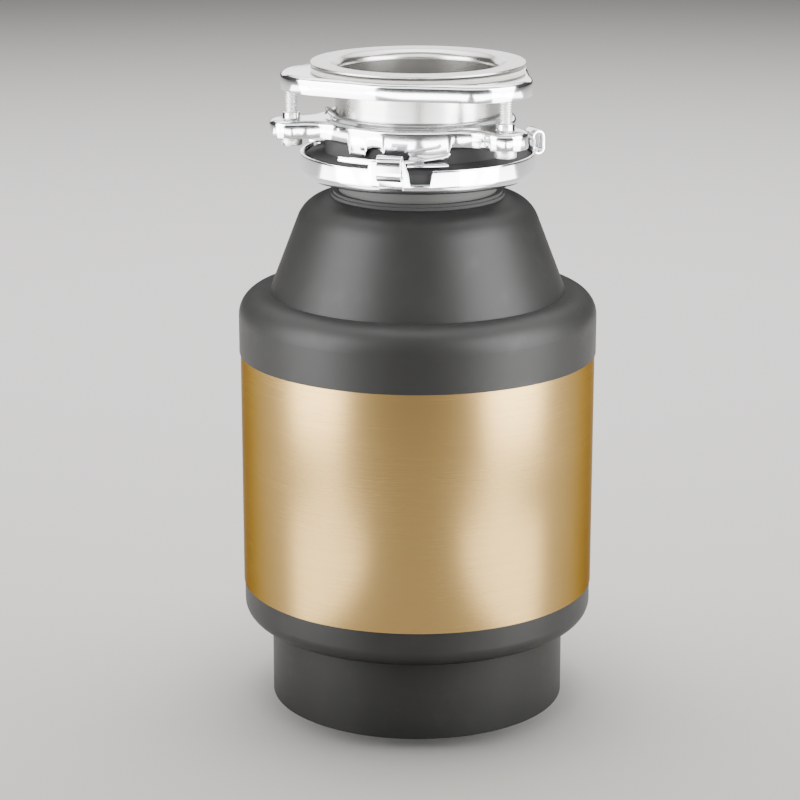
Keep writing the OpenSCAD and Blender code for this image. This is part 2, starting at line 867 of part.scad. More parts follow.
module grind_ring() {
    color("silver")
        difference() {
            tube_ring(chamber_in - fit_gap, grind_in, z_seat, grind_h);
            for (i = [0 : tooth_count - 1])
                rotate(i * 360 / tooth_count)
                    translate([grind_in - 1, -2.4, z_seat + 4]) cube([4.5, 4.8, grind_h - 11]);
        }
}

module turntable() {
    hole_r = 3.5;
    color("gainsboro")
        difference() {
            union() {
                translate([0, 0, z_table]) cylinder(r = table_r, h = table_t);
                translate([0, 0, z_table - 5]) cylinder(r = shaft_r + 5, h = 5 + eps);
                tube_ring(table_r - 6, table_r - 8.5, z_table - 3, 3 + eps);
            }
            translate([0, 0, z_table - 6]) cylinder(r = shaft_r - 2, h = 12);
            translate([0, 0, z_table - 6]) cylinder(r = shaft_r + run_gap, h = 4);
            around([0, 180], lug_circle_r)
                translate([0, 0, z_table - 1]) cylinder(r = pin_r, h = table_t + 2);
            around([45, 90, 135, 225, 270, 315], lug_circle_r + 8)
                translate([0, 0, z_table - 1]) cylinder(r = hole_r, h = table_t + 2);
            around([60, 120, 240, 300], lug_circle_r - 18)
                translate([0, 0, z_table - 1]) cylinder(r = hole_r, h = table_t + 2);
        }
}

module turntable_nut() {
    color("silver")
        translate([0, 0, z_table + table_t])
            difference() {
                cylinder(r = nut_r, h = nut_h, $fn = 6);
                translate([0, 0, -eps]) cylinder(r = shaft_r - 3, h = nut_h + 2 * eps);
            }
}

// One swivel lug around its pin, its long end away from the axis
module swivel_lug(a) {
    tail = 13;
    head_l = 14;
    color("lightsteelblue")
        rotate(a)
            translate([lug_circle_r, 0, z_lug])
                difference() {
                    union() {
                        translate([-tail, -lug_w / 2, 0]) cube([tail + lug_reach - 2, lug_w, lug_t]);
                        translate([lug_reach - head_l, -lug_w / 2, 0])
                            cube([head_l - 2, lug_w, lug_head_t]);
                        intersection() {
                            translate([lug_reach - lug_w, 0, 0]) cylinder(r = lug_w - 0.2, h = lug_head_t);
                            translate([lug_reach - 3, -lug_w / 2, 0]) cube([4, lug_w, lug_head_t]);
                        }
                    }
                    translate([0, 0, -eps]) cylinder(r = pin_r + run_gap, h = lug_head_t + 2 * eps);
                    translate([0, 0, lug_t])
                        cylinder(r = pin_r + 2.6 + move_gap, h = lug_head_t);
                }
}

module swivel_lug_a() {
    swivel_lug(0);
}

module swivel_lug_b() {
    swivel_lug(180);
}

module lug_pins() {
    color("silver")
        around([0, 180], lug_circle_r) {
            translate([0, 0, z_table]) cylinder(r = pin_r, h = z_lug + lug_t + move_gap + 2 - z_table);
            translate([0, 0, z_lug + lug_t + move_gap]) cylinder(r = pin_r + 2.6, h = 2.5);
            translate([0, 0, z_table - 2]) cylinder(r = pin_r + 2, h = 2);
        }
}

module water_slinger() {
    color([0.1, 0.1, 0.1])
        tube_ring(shaft_r + 6, shaft_r, z_table - 12, 2.5);
}

module drain_housing() {
    rim_drop = 17;
    rim_lap = 3;
    color([0.6, 0.6, 0.62])
        difference() {
            union() {
                tube_ring(hub_r + 2, shaft_r + 1, z_drain - 6, z_seal + 16 - z_drain);
                tube_ring(chamber_out, shaft_r + 1, z_drain, chamber_wall);
                tube_ring(chamber_out, chamber_in, z_drain, z_seat - z_drain);
                tube_ring(chamber_out + flange_w, chamber_in, z_seat - flange_t, flange_t);
                tube_ring(chamber_in + eps, chamber_in - seat_w, z_seat - 3, 3);
                tube_ring(motor_r, stator_r + fit_gap, z_drain - rim_drop - rim_lap,
                          rim_drop + rim_lap + eps);
                around(bolt_angles, bolt_circle_r)
                    translate([0, 0, z_drain - 10]) cylinder(r = bolt_r + 2, h = 10 + eps);
                port_rod(port_in + port_wall, chamber_in - 2, port_face - chamber_in + 2);
                stadium_slab(port_ear, port_ear_r, port_face - port_flange_t, port_flange_t);
                port_rod(port_end_r, port_face - port_flange_t, port_flange_t);
            }
            port_rod(port_in, chamber_in - seat_w - 4, port_face);
            translate([0, 0, z_drain - 7]) cylinder(r = shaft_r + bush_wall, h = hub_h + 1);
            translate([0, 0, z_drain - 7]) cylinder(r = shaft_r + 1, h = 60);
            translate([0, 0, z_seal]) cylinder(r = seal_r, h = 11);
            translate([0, 0, z_seat - 1.3])
                tube_ring(chamber_in - 1.7, chamber_in - 4.5, 0, 2);
            around(bolt_angles, bolt_circle_r)
                translate([0, 0, z_drain - 11]) cylinder(r = bolt_r, h = 12);
            around(chamber_screw_angles, chamber_screw_at)
                translate([0, 0, z_seat - flange_t - eps])
                    cylinder(r = chamber_screw_r, h = flange_t + 2 * eps);
            for (s = [-1, 1])
                translate([s * port_ear, port_face - port_flange_t - eps, z_port])
                    rotate([-90, 0, 0]) cylinder(r = outlet_screw_r, h = port_flange_t + 2 * eps);
        }
}

module shaft_seal() {
    color([0.1, 0.1, 0.1]) tube_ring(seal_r, shaft_r + run_gap, z_seal, 8);
}

// ---- Motor ----

module upper_bearing() {
    color([0.72, 0.55, 0.3])
        tube_ring(shaft_r + bush_wall, shaft_r + run_gap, z_drain - 6, hub_h);
}

module lower_bearing() {
    color([0.72, 0.55, 0.3]) tube_ring(shaft_r + bush_wall, shaft_r + run_gap, z_hub, hub_h);
}

module thrust_washer() {
    color([0.8, 0.7, 0.5]) tube_ring(shaft_r + bush_wall + 2, shaft_r + 0.5, z_hub + hub_h, 1.5);
}

module motor_shaft() {
    socket_r = 3.7;
    color("lightgray")
        difference() {
            union() {
                translate([0, 0, z_hub - 3]) cylinder(r = shaft_r, h = z_table - 2 - z_hub + 3);
                translate([0, 0, z_table - 2 - eps]) cylinder(r = shaft_r - 2, h = table_t + 2 + eps);
                translate([0, 0, z_table + table_t - eps]) cylinder(r = shaft_r - 3, h = nut_h + 2.5 + eps);
            }
            translate([0, 0, z_hub - 4]) cylinder(r = socket_r, h = 13, $fn = 6);
        }
}

module rotor_core() {
    color([0.5, 0.5, 0.52]) tube_ring(rotor_r, shaft_r, z_stator - 1, stator_h + 2);
}

module rotor_cage() {
    blade_count = 12;
    color([0.75, 0.75, 0.77])
        for (z0 = [z_stator - 6, z_stator_top + 1]) {
            tube_ring(rotor_r - 1, rotor_r - 13, z0, 5);
            for (i = [0 : blade_count - 1])
                rotate(i * 360 / blade_count)
                    translate([rotor_r - 12, -0.9, z0 < z_stator ? z0 - 5 : z0 + 5]) cube([9, 1.8, 5]);
        }
}

module stator_core() {
    color([0.45, 0.45, 0.47])
        difference() {
            tube_ring(stator_r, stator_in, z_stator, stator_h);
            for (i = [0 : slot_count - 1])
                rotate(i * 360 / slot_count + 7.5)
                    translate([slot_r0, -slot_w / 2, z_stator - 1])
                        cube([slot_r1 - slot_r0, slot_w, stator_h + 2]);
            around(bolt_angles, bolt_circle_r)
                translate([0, 0, z_stator - 1]) cylinder(r = bolt_r + 0.3, h = stator_h + 2);
        }
}

module stator_windings() {
    color([0.72, 0.4, 0.2]) {
        for (z0 = [z_stator - winding_h, z_stator_top + fit_gap])
            tube_ring(slot_r1 - 0.3, slot_r0 + 0.3, z0, winding_h - fit_gap);
        for (i = [0 : slot_count - 1])
            rotate(i * 360 / slot_count + 7.5)
                translate([slot_r0 + 0.3, -slot_w / 2 + 0.3, z_stator - 1])
                    cube([slot_r1 - slot_r0 - 0.6, slot_w - 0.6, stator_h + 2]);
    }
}

module lower_end_frame() {
    plate_z = z_hub + 4;
    window_n = 6;
    color([0.6, 0.6, 0.62])
        difference() {
            union() {
                tube_ring(hub_r, shaft_r + bush_wall, z_hub, hub_h - 1);
                tube_ring(motor_r, shaft_r + bush_wall, plate_z, 4);
                tube_ring(motor_r, stator_r + fit_gap, plate_z, z_stator + 3 - plate_z);
                tube_ring(motor_r, stator_r - 2, plate_z, z_stator - plate_z - 0.05);
            }
            around([for (i = [0 : window_n - 1]) i * 60], (hub_r + stator_r) / 2)
                translate([0, 0, plate_z - 1]) cylinder(r = 7.5, h = 6);
            around(bolt_angles, bolt_circle_r)
                translate([0, 0, plate_z - 1]) cylinder(r = bolt_r + 0.2, h = 6);
            around(base_screw_angles, base_screw_circle)
                translate([0, 0, plate_z - 1]) cylinder(r = base_screw_r, h = 6);
        }
}

module through_bolts() {
    color("gray")
        around(bolt_angles, bolt_circle_r) {
            translate([0, 0, z_hub + 4 - 3]) cylinder(r = bolt_r + 2, h = 3, $fn = 6);
            translate([0, 0, z_hub + 4 - eps]) cylinder(r = bolt_r, h = z_drain - z_hub - 4 - 0.5);
        }
}

module run_capacitor() {
    can_r = 10.5;
    can_h = 46;
    at = motor_r + can_r + 1.5;
    color([0.2, 0.22, 0.3])
        rotate(215)
            translate([at, 0, z_band + 5.1]) {
                cylinder(r = can_r, h = can_h);
                for (s = [-1, 1])
                    translate([-0.4, s * 4 - 2, can_h - eps]) cube([0.8, 4, 6]);
            }
}

module overload_protector() {
    body = [22, 16, 9];
    color([0.15, 0.15, 0.15])
        difference() {
            translate([reset_at[0] - body[0] / 2, reset_at[1] - body[1] / 2, 8.1]) cube(body);
            translate([reset_at[0], reset_at[1], 8])
                cylinder(r = reset_r - 2 + move_gap, h = 6);
        }
}

module reset_button() {
    stem_r = reset_r - 2;
    cap_h = 2.4;
    stem_h = 7.5;
    color("firebrick")
        translate([reset_at[0], reset_at[1], reset_travel + reset_stand]) {
            cylinder(r = reset_r, h = cap_h);
            translate([0, 0, cap_h - eps]) cylinder(r = stem_r, h = stem_h);
        }
}

// ---- Outlet ----

module discharge_gasket() {
    color([0.1, 0.1, 0.1])
        difference() {
            port_rod(port_end_r - 0.5, port_face, 2);
            port_rod(port_in, port_face - eps, 2 + 2 * eps);
        }
}

module discharge_elbow() {
    start = port_face + 2;
    flare_t = 2.5;
    straight = 8;
    bend_at = start + flare_t + straight;
    color([0.18, 0.18, 0.18]) {
        translate([0, start, z_port])
            rotate([-90, 0, 0])
                linear_extrude(flare_t) pipe_section(port_end_r - 0.5);
        translate([0, start + flare_t, z_port])
            rotate([-90, 0, 0])
                linear_extrude(straight) pipe_section(outlet_r);
        translate([0, bend_at, z_port - elbow_bend])
            rotate([90, 0, 90])
                rotate_extrude(angle = 90) translate([elbow_bend, 0]) pipe_section(outlet_r);
        translate([0, bend_at + elbow_bend, z_port - elbow_bend - elbow_tail])
            linear_extrude(elbow_tail) pipe_section(outlet_r);
    }
}

// Cross section of the elbow, with its outside radius given
module pipe_section(r_out) {
    difference() {
        circle(r = r_out);
        circle(r = outlet_r - outlet_wall);
    }
}

module discharge_flange() {
    face = port_face + 4.5;
    color("silver")
        difference() {
            union() {
                stadium_slab(port_ear, port_ear_r, face, clamp_t);
                port_rod(port_end_r, face, clamp_t);
            }
            port_rod(outlet_r + 0.3, face - 0.5, clamp_t + 1);
            for (s = [-1, 1])
                translate([s * port_ear, face - 0.5, z_port])
                    rotate([-90, 0, 0]) cylinder(r = outlet_screw_r + 0.3, h = clamp_t + 1);
        }
}

module discharge_screws() {
    color("gray")
        for (s = [-1, 1])
            translate([s * port_ear, port_face - port_flange_t, z_port])
                rotate([-90, 0, 0]) {
                    cylinder(r = outlet_screw_r, h = port_flange_t + 7.1);
                    translate([0, 0, port_flange_t + 7]) cylinder(r = outlet_screw_r + 2.3, h = 3, $fn = 6);
                }
}

sink_flange();
sink_gasket();
backup_flange();
upper_mounting_ring();
snap_ring();
mounting_screw_left();
mounting_screw_right();
mounting_screw_rear();
lower_mounting_ring();
mounting_gasket();
splash_baffle();
neck_grommet();
top_cover();
sleeve();
lower_band();
base_cover();
base_screws();
wiring_cover();
wiring_cover_screw();
cable_bushing();
grind_chamber();
sound_jacket();
chamber_seal();
chamber_screws();
grind_ring();
turntable();
turntable_nut();
swivel_lug_a();
swivel_lug_b();
lug_pins();
water_slinger();
drain_housing();
shaft_seal();
upper_bearing();
motor_shaft();
rotor_core();
rotor_cage();
stator_core();
stator_windings();
lower_end_frame();
lower_bearing();
thrust_washer();
through_bolts();
run_capacitor();
overload_protector();
reset_button();
discharge_gasket();
discharge_elbow();
discharge_flange();
discharge_screws();
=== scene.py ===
"""Looks of a kitchen food waste disposer with its three-screw sink mount.

Lengths are metres in the frame of the packed model. A size written with MM is in millimetres.
"""

from __future__ import annotations

import json
import logging
import math
from collections.abc import Iterable, Sequence
from dataclasses import dataclass, field
from enum import Enum
from typing import ClassVar

import bmesh
import bpy
from mathutils import Matrix, Vector

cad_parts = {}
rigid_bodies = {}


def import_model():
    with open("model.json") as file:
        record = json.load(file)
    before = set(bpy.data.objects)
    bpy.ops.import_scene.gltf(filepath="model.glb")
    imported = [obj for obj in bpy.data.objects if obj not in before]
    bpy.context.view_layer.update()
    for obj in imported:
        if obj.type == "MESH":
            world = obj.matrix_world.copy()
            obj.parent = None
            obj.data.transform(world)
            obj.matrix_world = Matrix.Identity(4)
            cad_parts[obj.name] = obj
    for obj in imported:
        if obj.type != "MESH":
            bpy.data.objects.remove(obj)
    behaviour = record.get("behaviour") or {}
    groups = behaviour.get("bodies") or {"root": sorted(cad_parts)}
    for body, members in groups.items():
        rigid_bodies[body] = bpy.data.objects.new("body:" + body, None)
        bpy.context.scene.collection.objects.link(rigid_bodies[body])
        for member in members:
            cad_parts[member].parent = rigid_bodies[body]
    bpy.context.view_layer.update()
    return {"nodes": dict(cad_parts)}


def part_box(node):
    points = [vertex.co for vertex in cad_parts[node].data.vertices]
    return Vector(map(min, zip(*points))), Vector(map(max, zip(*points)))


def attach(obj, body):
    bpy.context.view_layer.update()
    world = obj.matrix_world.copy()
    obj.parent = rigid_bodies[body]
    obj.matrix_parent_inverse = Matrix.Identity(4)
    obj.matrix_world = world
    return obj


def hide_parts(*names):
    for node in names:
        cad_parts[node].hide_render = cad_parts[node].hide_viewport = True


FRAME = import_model()
MM = 0.001
LOG = logging.getLogger("disposer")

Colour = tuple[float, float, float]


# ---- Shader maths ----


class Value:
    """A number that varies over a surface. Arithmetic on it adds Math nodes."""

    def __init__(self, board: Board, socket: bpy.types.NodeSocket) -> None:
        """Wraps one output socket of a board."""
        self.board = board
        self.socket = socket

    def maths(self, operation: str, *terms: Term) -> Value:
        """Adds a Math node.

        Args:
            operation: The node's operation.
            terms: What goes into its sockets, in order.

        Returns:
            The node's result.
        """
        node = self.board.node("ShaderNodeMath", {"operation": operation}, dict(enumerate(terms)))
        return Value(self.board, node.outputs[0])

    def __add__(self, other: Term) -> Value:
        """Returns self + other."""
        return self.maths("ADD", self, other)

    def __sub__(self, other: Term) -> Value:
        """Returns self - other."""
        return self.maths("SUBTRACT", self, other)

    def __rsub__(self, other: Term) -> Value:
        """Returns other - self."""
        return self.maths("SUBTRACT", other, self)

    def __mul__(self, other: Term) -> Value:
        """Returns self * other."""
        return self.maths("MULTIPLY", self, other)

    def __truediv__(self, other: Term) -> Value:
        """Returns self / other."""
        return self.maths("DIVIDE", self, other)

    def __rtruediv__(self, other: Term) -> Value:
        """Returns other / self."""
        return self.maths("DIVIDE", other, self)

    def __pow__(self, other: Term) -> Value:
        """Returns self to the power of other."""
        return self.maths("POWER", self, other)

    __radd__ = __add__
    __rmul__ = __mul__

    def root(self) -> Value:
        """Returns the square root."""
        return self.maths("SQRT", self)

    def over(self, edge: float, soft: float) -> Value:
        """Returns a mask that rises from 0 to 1 where the value passes an edge.

        Args:
            edge: Value at the middle of the rise.
            soft: Half the width of the rise.

        Returns:
            The mask, from 0 to 1.
        """
        node = self.board.node(
            "ShaderNodeMapRange",
            {"interpolation_type": "SMOOTHSTEP"},
            {0: self, 1: edge - soft, 2: edge + soft, 3: 0.0, 4: 1.0},
        )
        return Value(self.board, node.outputs[0])


Term = Value | bpy.types.NodeSocket | float | Sequence[float]


class Board:
    """The node board of one material."""

    def __init__(self, name: str) -> None:
        """Starts a material that holds only its output node."""
        self.material = bpy.data.materials.new(name)
        self.material.use_nodes = True
        self.tree = self.material.node_tree
        self.tree.nodes.clear()
        self.out = self.tree.nodes.new("ShaderNodeOutputMaterial")

    def node(
        self,
        kind: str,
        settings: dict[str, object] | None = None,
        inputs: dict[str | int, Term] | None = None,
    ) -> bpy.types.Node:
        """Adds one node.

        Args:
            kind: The node's type.
            settings: Its properties, set before its sockets. "stops" holds a ramp's (place, colour) pairs.
            inputs: A value or a link for each named or numbered socket.

        Returns:
            The new node.
        """
        made = self.tree.nodes.new(kind)
        for key, setting in (settings or {}).items():
            if key == "stops":
                self.set_stops(made, setting)
            else:
                setattr(made, key, setting)
        for key, term in (inputs or {}).items():
            socket = made.inputs[key]
            term = term.socket if isinstance(term, Value) else term
            if isinstance(term, bpy.types.NodeSocket):
                self.tree.links.new(term, socket)
            else:
                socket.default_value = term
        return made

    @staticmethod
    def set_stops(node: bpy.types.Node, stops: Sequence[tuple[float, Colour]]) -> None:
        """Gives a colour ramp its stops."""
        elements = node.color_ramp.elements
        while len(elements) < len(stops):
            elements.new(1.0)
        for element, (place, colour) in zip(elements, stops):
            element.position = place
            element.color = (*colour, 1.0)

    def point(self) -> bpy.types.NodeSocket:
        """Returns the point on the surface, in the frame at rest."""
        return self.node("ShaderNodeTexCoord").outputs["Object"]

    def parts(self, vector: bpy.types.NodeSocket) -> tuple[Value, Value, Value]:
        """Returns a vector's three parts."""
        node = self.node("ShaderNodeSeparateXYZ", None, {0: vector})
        return tuple(Value(self, out) for out in node.outputs)

    def join(self, x: Term, y: Term, z: Term) -> bpy.types.NodeSocket:
        """Returns the vector with these three parts."""
        return self.node("ShaderNodeCombineXYZ", None, {0: x, 1: y, 2: z}).outputs[0]

    def turned(self, round_scale: float, line_scale: float) -> bpy.types.NodeSocket:
        """Returns coordinates for marks that run around the vertical axis.

        Args:
            round_scale: How fast the marks change around the axis.
            line_scale: How fast they change along the height and the radius, per metre.

        Returns:
            A vector without a seam.
        """
        x, y, z = self.parts(self.point())
        radius = (x * x + y * y + 1e-8).root()
        return self.join(x / radius * round_scale, y / radius * round_scale, (z + radius) * line_scale)

    def noise(
        self, vector: bpy.types.NodeSocket, scale: float, detail: float = 3.0, rough: float = 0.5
    ) -> Value:
        """Returns a soft random pattern.

        Args:
            vector: Where it is read.
            scale: Its scale.
            detail: Its number of finer layers.
            rough: How strong the finer layers are.

        Returns:
            The pattern, about 0.5 on average.
        """
        inputs = {"Vector": vector, "Scale": scale, "Detail": detail, "Roughness": rough}
        return Value(self, self.node("ShaderNodeTexNoise", None, inputs).outputs[0])

    def cells(self, vector: bpy.types.NodeSocket, scale: float) -> Value:
        """Returns the distance to the nearest of many scattered points."""
        node = self.node("ShaderNodeTexVoronoi", None, {"Vector": vector, "Scale": scale})
        return Value(self, node.outputs[0])

    def mixed(self, share: Term, low: Term, high: Term) -> bpy.types.NodeSocket:
        """Returns a colour between two colours.

        Args:
            share: 0 for the first colour, 1 for the second.
            low: The first colour.
            high: The second colour.

        Returns:
            The mixed colour's socket.
        """
        low, high = (c if isinstance(c, bpy.types.NodeSocket) else (*c, 1.0) for c in (low, high))
        node = self.node("ShaderNodeMix", {"data_type": "RGBA"}, {0: share, 6: low, 7: high})
        return node.outputs[2]

    def relief(
        self, height: Value, depth: float, strength: float = 1.0, under: Term | None = None
    ) -> bpy.types.NodeSocket:
        """Returns a normal that shows fine relief.

        Args:
            height: The relief, about 0 to 1.
            depth: What 1 stands for, in metres.
            strength: How much of it shows.
            under: A normal that this one is laid on.

        Returns:
            The normal's socket.
        """
        inputs: dict[str | int, Term] = {"Height": height, "Distance": depth, "Strength": strength}
        if under is not None:
            inputs["Normal"] = under
        return self.node("ShaderNodeBump", None, inputs).outputs[0]

    def surface(self, **sockets: Term) -> bpy.types.Material:
        """Ends the board in a Principled shader.

        Args:
            sockets: A value or a link for each socket, with _ for a space in its name.

        Returns:
            The finished material.
        """
        inputs = {}
        for key, term in sockets.items():
            if isinstance(term, tuple):
                term = (*term, 1.0)
            inputs[key.replace("_", " ")] = term
        shader = self.node("ShaderNodeBsdfPrincipled", None, inputs)
        self.tree.links.new(shader.outputs[0], self.out.inputs[0])
        return self.material


# ---- Finishes ----


@dataclass(frozen=True)
class Finish:
    """A surface finish that can dress any piece."""

    name: str

    def board(self) -> Board:
        """Returns a new board under the finish's name."""
        return Board(self.name)

    def make(self) -> bpy.types.Material:
        """Returns a new material. Each kind of finish has its own."""
        raise NotImplementedError

    def material(self) -> bpy.types.Material:
        """Returns the finish's material, made once."""
        return bpy.data.materials.get(self.name) or self.make()


@dataclass(frozen=True)
class PolishedMetal(Finish):
    """Plated or polished metal with a slightly uneven pressed surface."""

    colour: Colour = (0.86, 0.87, 0.88)
    shade: Colour = (0.70, 0.71, 0.73)
    rough: float = 0.10
    smear: float = 0.10
    ripple: float = 0.10

    def make(self) -> bpy.types.Material:
        """Returns the metal with faint smears and ripples."""
        board = self.board()
        point = board.point()
        cloud = board.noise(point, 38.0, 4.0, 0.6)
        fine = board.noise(point, 420.0, 3.0, 0.6)
        dull = cloud.over(0.56, 0.16)
        return board.surface(
            Base_Color=board.mixed(dull * 0.6 + fine * 0.2, self.colour, self.shade),
            Metallic=1.0,
            Roughness=dull * self.smear + fine * 0.05 + self.rough,
            Normal=board.relief(cloud + fine * 0.04, 0.9 * MM, self.ripple),
        )


@dataclass(frozen=True)
class BrushedMetal(Finish):
    """Metal brushed around the vertical axis."""

    colour: Colour = (0.70, 0.69, 0.67)
    shade: Colour = (0.52, 0.51, 0.49)
    rough: float = 0.26
    lines: float = 2600.0
    depth: float = 0.25
    stretch: float = 0.0
    edge: Colour = (1.0, 1.0, 1.0)

    def make(self) -> bpy.types.Material:
        """Returns the metal with fine lines, some deeper than others."""
        board = self.board()
        fine = board.noise(board.turned(2.0, self.lines), 1.0, 4.0, 0.65)
        wide = board.noise(board.turned(1.2, self.lines * 0.12), 1.0, 3.0, 0.6)
        cloud = board.noise(board.point(), 14.0, 3.0, 0.5)
        streak = fine * 0.7 + wide * 0.3
        return board.surface(
            Base_Color=board.mixed(streak.over(0.52, 0.22) * 0.8 + cloud * 0.2, self.colour, self.shade),
            Metallic=1.0,
            Roughness=streak * 0.16 + cloud * 0.06 + (self.rough - 0.11),
            Anisotropic=self.stretch,
            Specular_Tint=self.edge,
            Normal=board.relief(streak, 0.06 * MM, self.depth),
        )


@dataclass(frozen=True)
class MouldedPlastic(Finish):
    """Satin moulded plastic with a fine spark-eroded grain."""

    colour: Colour = (0.011, 0.011, 0.0105)
    pale: Colour = (0.018, 0.018, 0.017)
    rough: float = 0.47
    grain: float = 0.35

    def make(self) -> bpy.types.Material:
        """Returns the plastic with grain, faint clouds and light rubbing."""
        board = self.board()
        point = board.point()
        cloud = board.noise(point, 16.0, 4.0, 0.55)
        grain = board.noise(point, 1900.0, 2.0, 0.6)
        rubbed = board.noise(point, 70.0, 6.0, 0.7).over(0.62, 0.10)
        return board.surface(
            Base_Color=board.mixed(cloud.over(0.5, 0.25) * 0.6 + rubbed * 0.4, self.colour, self.pale),
            Roughness=cloud * 0.10 + grain * 0.08 - rubbed * 0.05 + (self.rough - 0.09),
            Specular_IOR_Level=0.26,
            Normal=board.relief(grain + cloud * 0.5, 0.03 * MM, self.grain),
        )


@dataclass(frozen=True)
class Rubber(Finish):
    """Matt rubber with a dusty bloom and a moulded skin."""

    colour: Colour = (0.006, 0.006, 0.006)
    bloom: Colour = (0.013, 0.013, 0.013)
    rough: float = 0.55

    def make(self) -> bpy.types.Material:
        """Returns the rubber with bloom and small pits."""
        board = self.board()
        point = board.point()
        dust = board.noise(point, 90.0, 6.0, 0.65)
        pits = board.cells(point, 1500.0)
        return board.surface(
            Base_Color=board.mixed(dust.over(0.55, 0.15), self.colour, self.bloom),
            Roughness=dust * 0.2 + (self.rough - 0.1),
            Specular_IOR_Level=0.25,
            Normal=board.relief(dust * 0.6 + pits * 0.4, 0.05 * MM, 0.4),
        )


@dataclass(frozen=True)
class CastMetal(Finish):
    """Cast or sintered metal with a sandy skin."""

    colour: Colour = (0.42, 0.42, 0.43)
    shade: Colour = (0.26, 0.26, 0.27)
    rough: float = 0.46

    def make(self) -> bpy.types.Material:
        """Returns the metal with sand marks and darker hollows."""
        board = self.board()
        point = board.point()
        sand = board.cells(point, 900.0)
        cloud = board.noise(point, 45.0, 5.0, 0.6)
        return board.surface(
            Base_Color=board.mixed(cloud.over(0.5, 0.2), self.colour, self.shade),
            Metallic=0.9,
            Roughness=cloud * 0.15 + sand * 0.08 + (self.rough - 0.1),
            Normal=board.relief(sand + cloud, 0.12 * MM, 0.5),
        )


@dataclass(frozen=True)
class StackedSheets(Finish):
    """Stacked steel sheets, seen from their edges."""

    colour: Colour = (0.36, 0.37, 0.39)
    gap: Colour = (0.10, 0.10, 0.11)
    sheet: float = 0.5

    def make(self) -> bpy.types.Material:
        """Returns metal with one dark line for each sheet."""
        board = self.board()
        point = board.point()
        height = board.parts(point)[2]
        per_metre = 2 * math.pi / (self.sheet * MM)
        wave = (height * per_metre).maths("SINE", height * per_metre)
        stain = board.noise(point, 60.0, 5.0, 0.6)
        return board.surface(
            Base_Color=board.mixed(wave.over(0.6, 0.3) * 0.7 + stain * 0.3, self.colour, self.gap),
            Metallic=0.85,
            Roughness=stain * 0.2 + 0.34,
            Normal=board.relief(wave, 0.04 * MM, 0.5),
        )


@dataclass(frozen=True)
class WoundWire(Finish):
    """Enamelled wire wound in bundles."""

    colour: Colour = (0.52, 0.17, 0.06)
    # Painted shade: the dark colour that fills the grooves between the wires.
    gap: Colour = (0.10, 0.03, 0.015)
    wire: float = 0.9

    def make(self) -> bpy.types.Material:
        """Returns glossy wires with dark gaps between them."""
        board = self.board()
        x, y, z = board.parts(board.point())
        radius = (x * x + y * y + 1e-8).root()
        strand = (z + radius) * (2 * math.pi / (self.wire * MM)) + board.noise(board.point(), 55.0) * 3.0
        wave = strand.maths("SINE", strand)
        return board.surface(
            # Painted shade: the colour turns to the dark gap colour in the grooves of the relief.
            Base_Color=board.mixed(wave.over(-0.5, 0.5), self.gap, self.colour),
            Metallic=0.6,
            Roughness=board.noise(board.point(), 120.0) * 0.1 + 0.24,
            Coat_Weight=0.5,
            Normal=board.relief(wave, 0.25 * MM, 0.8),
        )


@dataclass(frozen=True)
class OpenFoam(Finish):
    """Soft foam with open pores, or pressed fibre with fine pores."""

    colour: Colour = (0.10, 0.10, 0.11)
    # Painted shade for the insides of the pores.
    pore_shade: Colour = (0.03, 0.03, 0.035)
    pores: float = 700.0

    def make(self) -> bpy.types.Material:
        """Returns a dull porous skin."""
        board = self.board()
        point = board.point()
        holes = board.cells(point, self.pores)
        cloud = board.noise(point, 25.0, 4.0, 0.6)
        return board.surface(
            # Painted shade: the pits of the relief take the darker pore colour.
            Base_Color=board.mixed(holes.over(0.35, 0.25) * 0.7 + cloud * 0.3, self.pore_shade, self.colour),
            Roughness=cloud * 0.1 + 0.85,
            Normal=board.relief(holes, 0.3 * MM, 0.7),
        )


class Coat(Enum):
    """The finishes, by the material slot of the record that each one serves."""

    brushed_flange = BrushedMetal("brushed_steel", (0.74, 0.73, 0.71), (0.50, 0.49, 0.47), 0.24, 2200.0, 0.35)
    # The second colour is painted shade in the fibre's pores.
    fibre_gasket = OpenFoam("pressed_fibre", (0.56, 0.55, 0.52), (0.40, 0.39, 0.37), 1600.0)
    bright_chrome = PolishedMetal("bright_chrome")
    spring_steel = PolishedMetal("spring_steel", (0.20, 0.20, 0.21), (0.11, 0.11, 0.12), 0.28, 0.12, 0.2)
    zinc_screws = PolishedMetal("zinc_screws", (0.66, 0.68, 0.70), (0.45, 0.46, 0.48), 0.26, 0.14, 0.2)
    zinc_plate = PolishedMetal("zinc_plate", (0.62, 0.64, 0.66), (0.42, 0.43, 0.45), 0.30, 0.14, 0.25)
    black_rubber = Rubber("black_rubber")
    dark_plastic = MouldedPlastic("satin_dark_plastic")
    champagne_sleeve = BrushedMetal(
        "champagne_metal", (0.48, 0.318, 0.12), (0.45, 0.295, 0.108), 0.26, 3400.0, 0.015, 0.65,
        edge=(0.26, 0.20, 0.13),
    )
    black_plastic = MouldedPlastic("black_plastic", (0.014, 0.014, 0.014), (0.024, 0.024, 0.024), 0.34)
    red_plastic = MouldedPlastic("red_plastic", (0.40, 0.02, 0.015), (0.48, 0.04, 0.03), 0.32)
    chamber_plastic = MouldedPlastic(
        "chamber_plastic", (0.018, 0.018, 0.019), (0.030, 0.030, 0.030), 0.46, 0.6
    )
    grey_foam = OpenFoam("grey_foam")
    stainless = BrushedMetal("stainless", (0.60, 0.60, 0.60), (0.42, 0.42, 0.42), 0.30, 1500.0, 0.4)
    cast_aluminium = CastMetal("cast_aluminium")
    bronze = CastMetal("sintered_bronze", (0.45, 0.27, 0.11), (0.28, 0.16, 0.06), 0.38)
    lamination_steel = StackedSheets("stacked_sheets")
    enamelled_copper = WoundWire("enamelled_copper")


# ---- Meshes ----

Row = list[Vector]


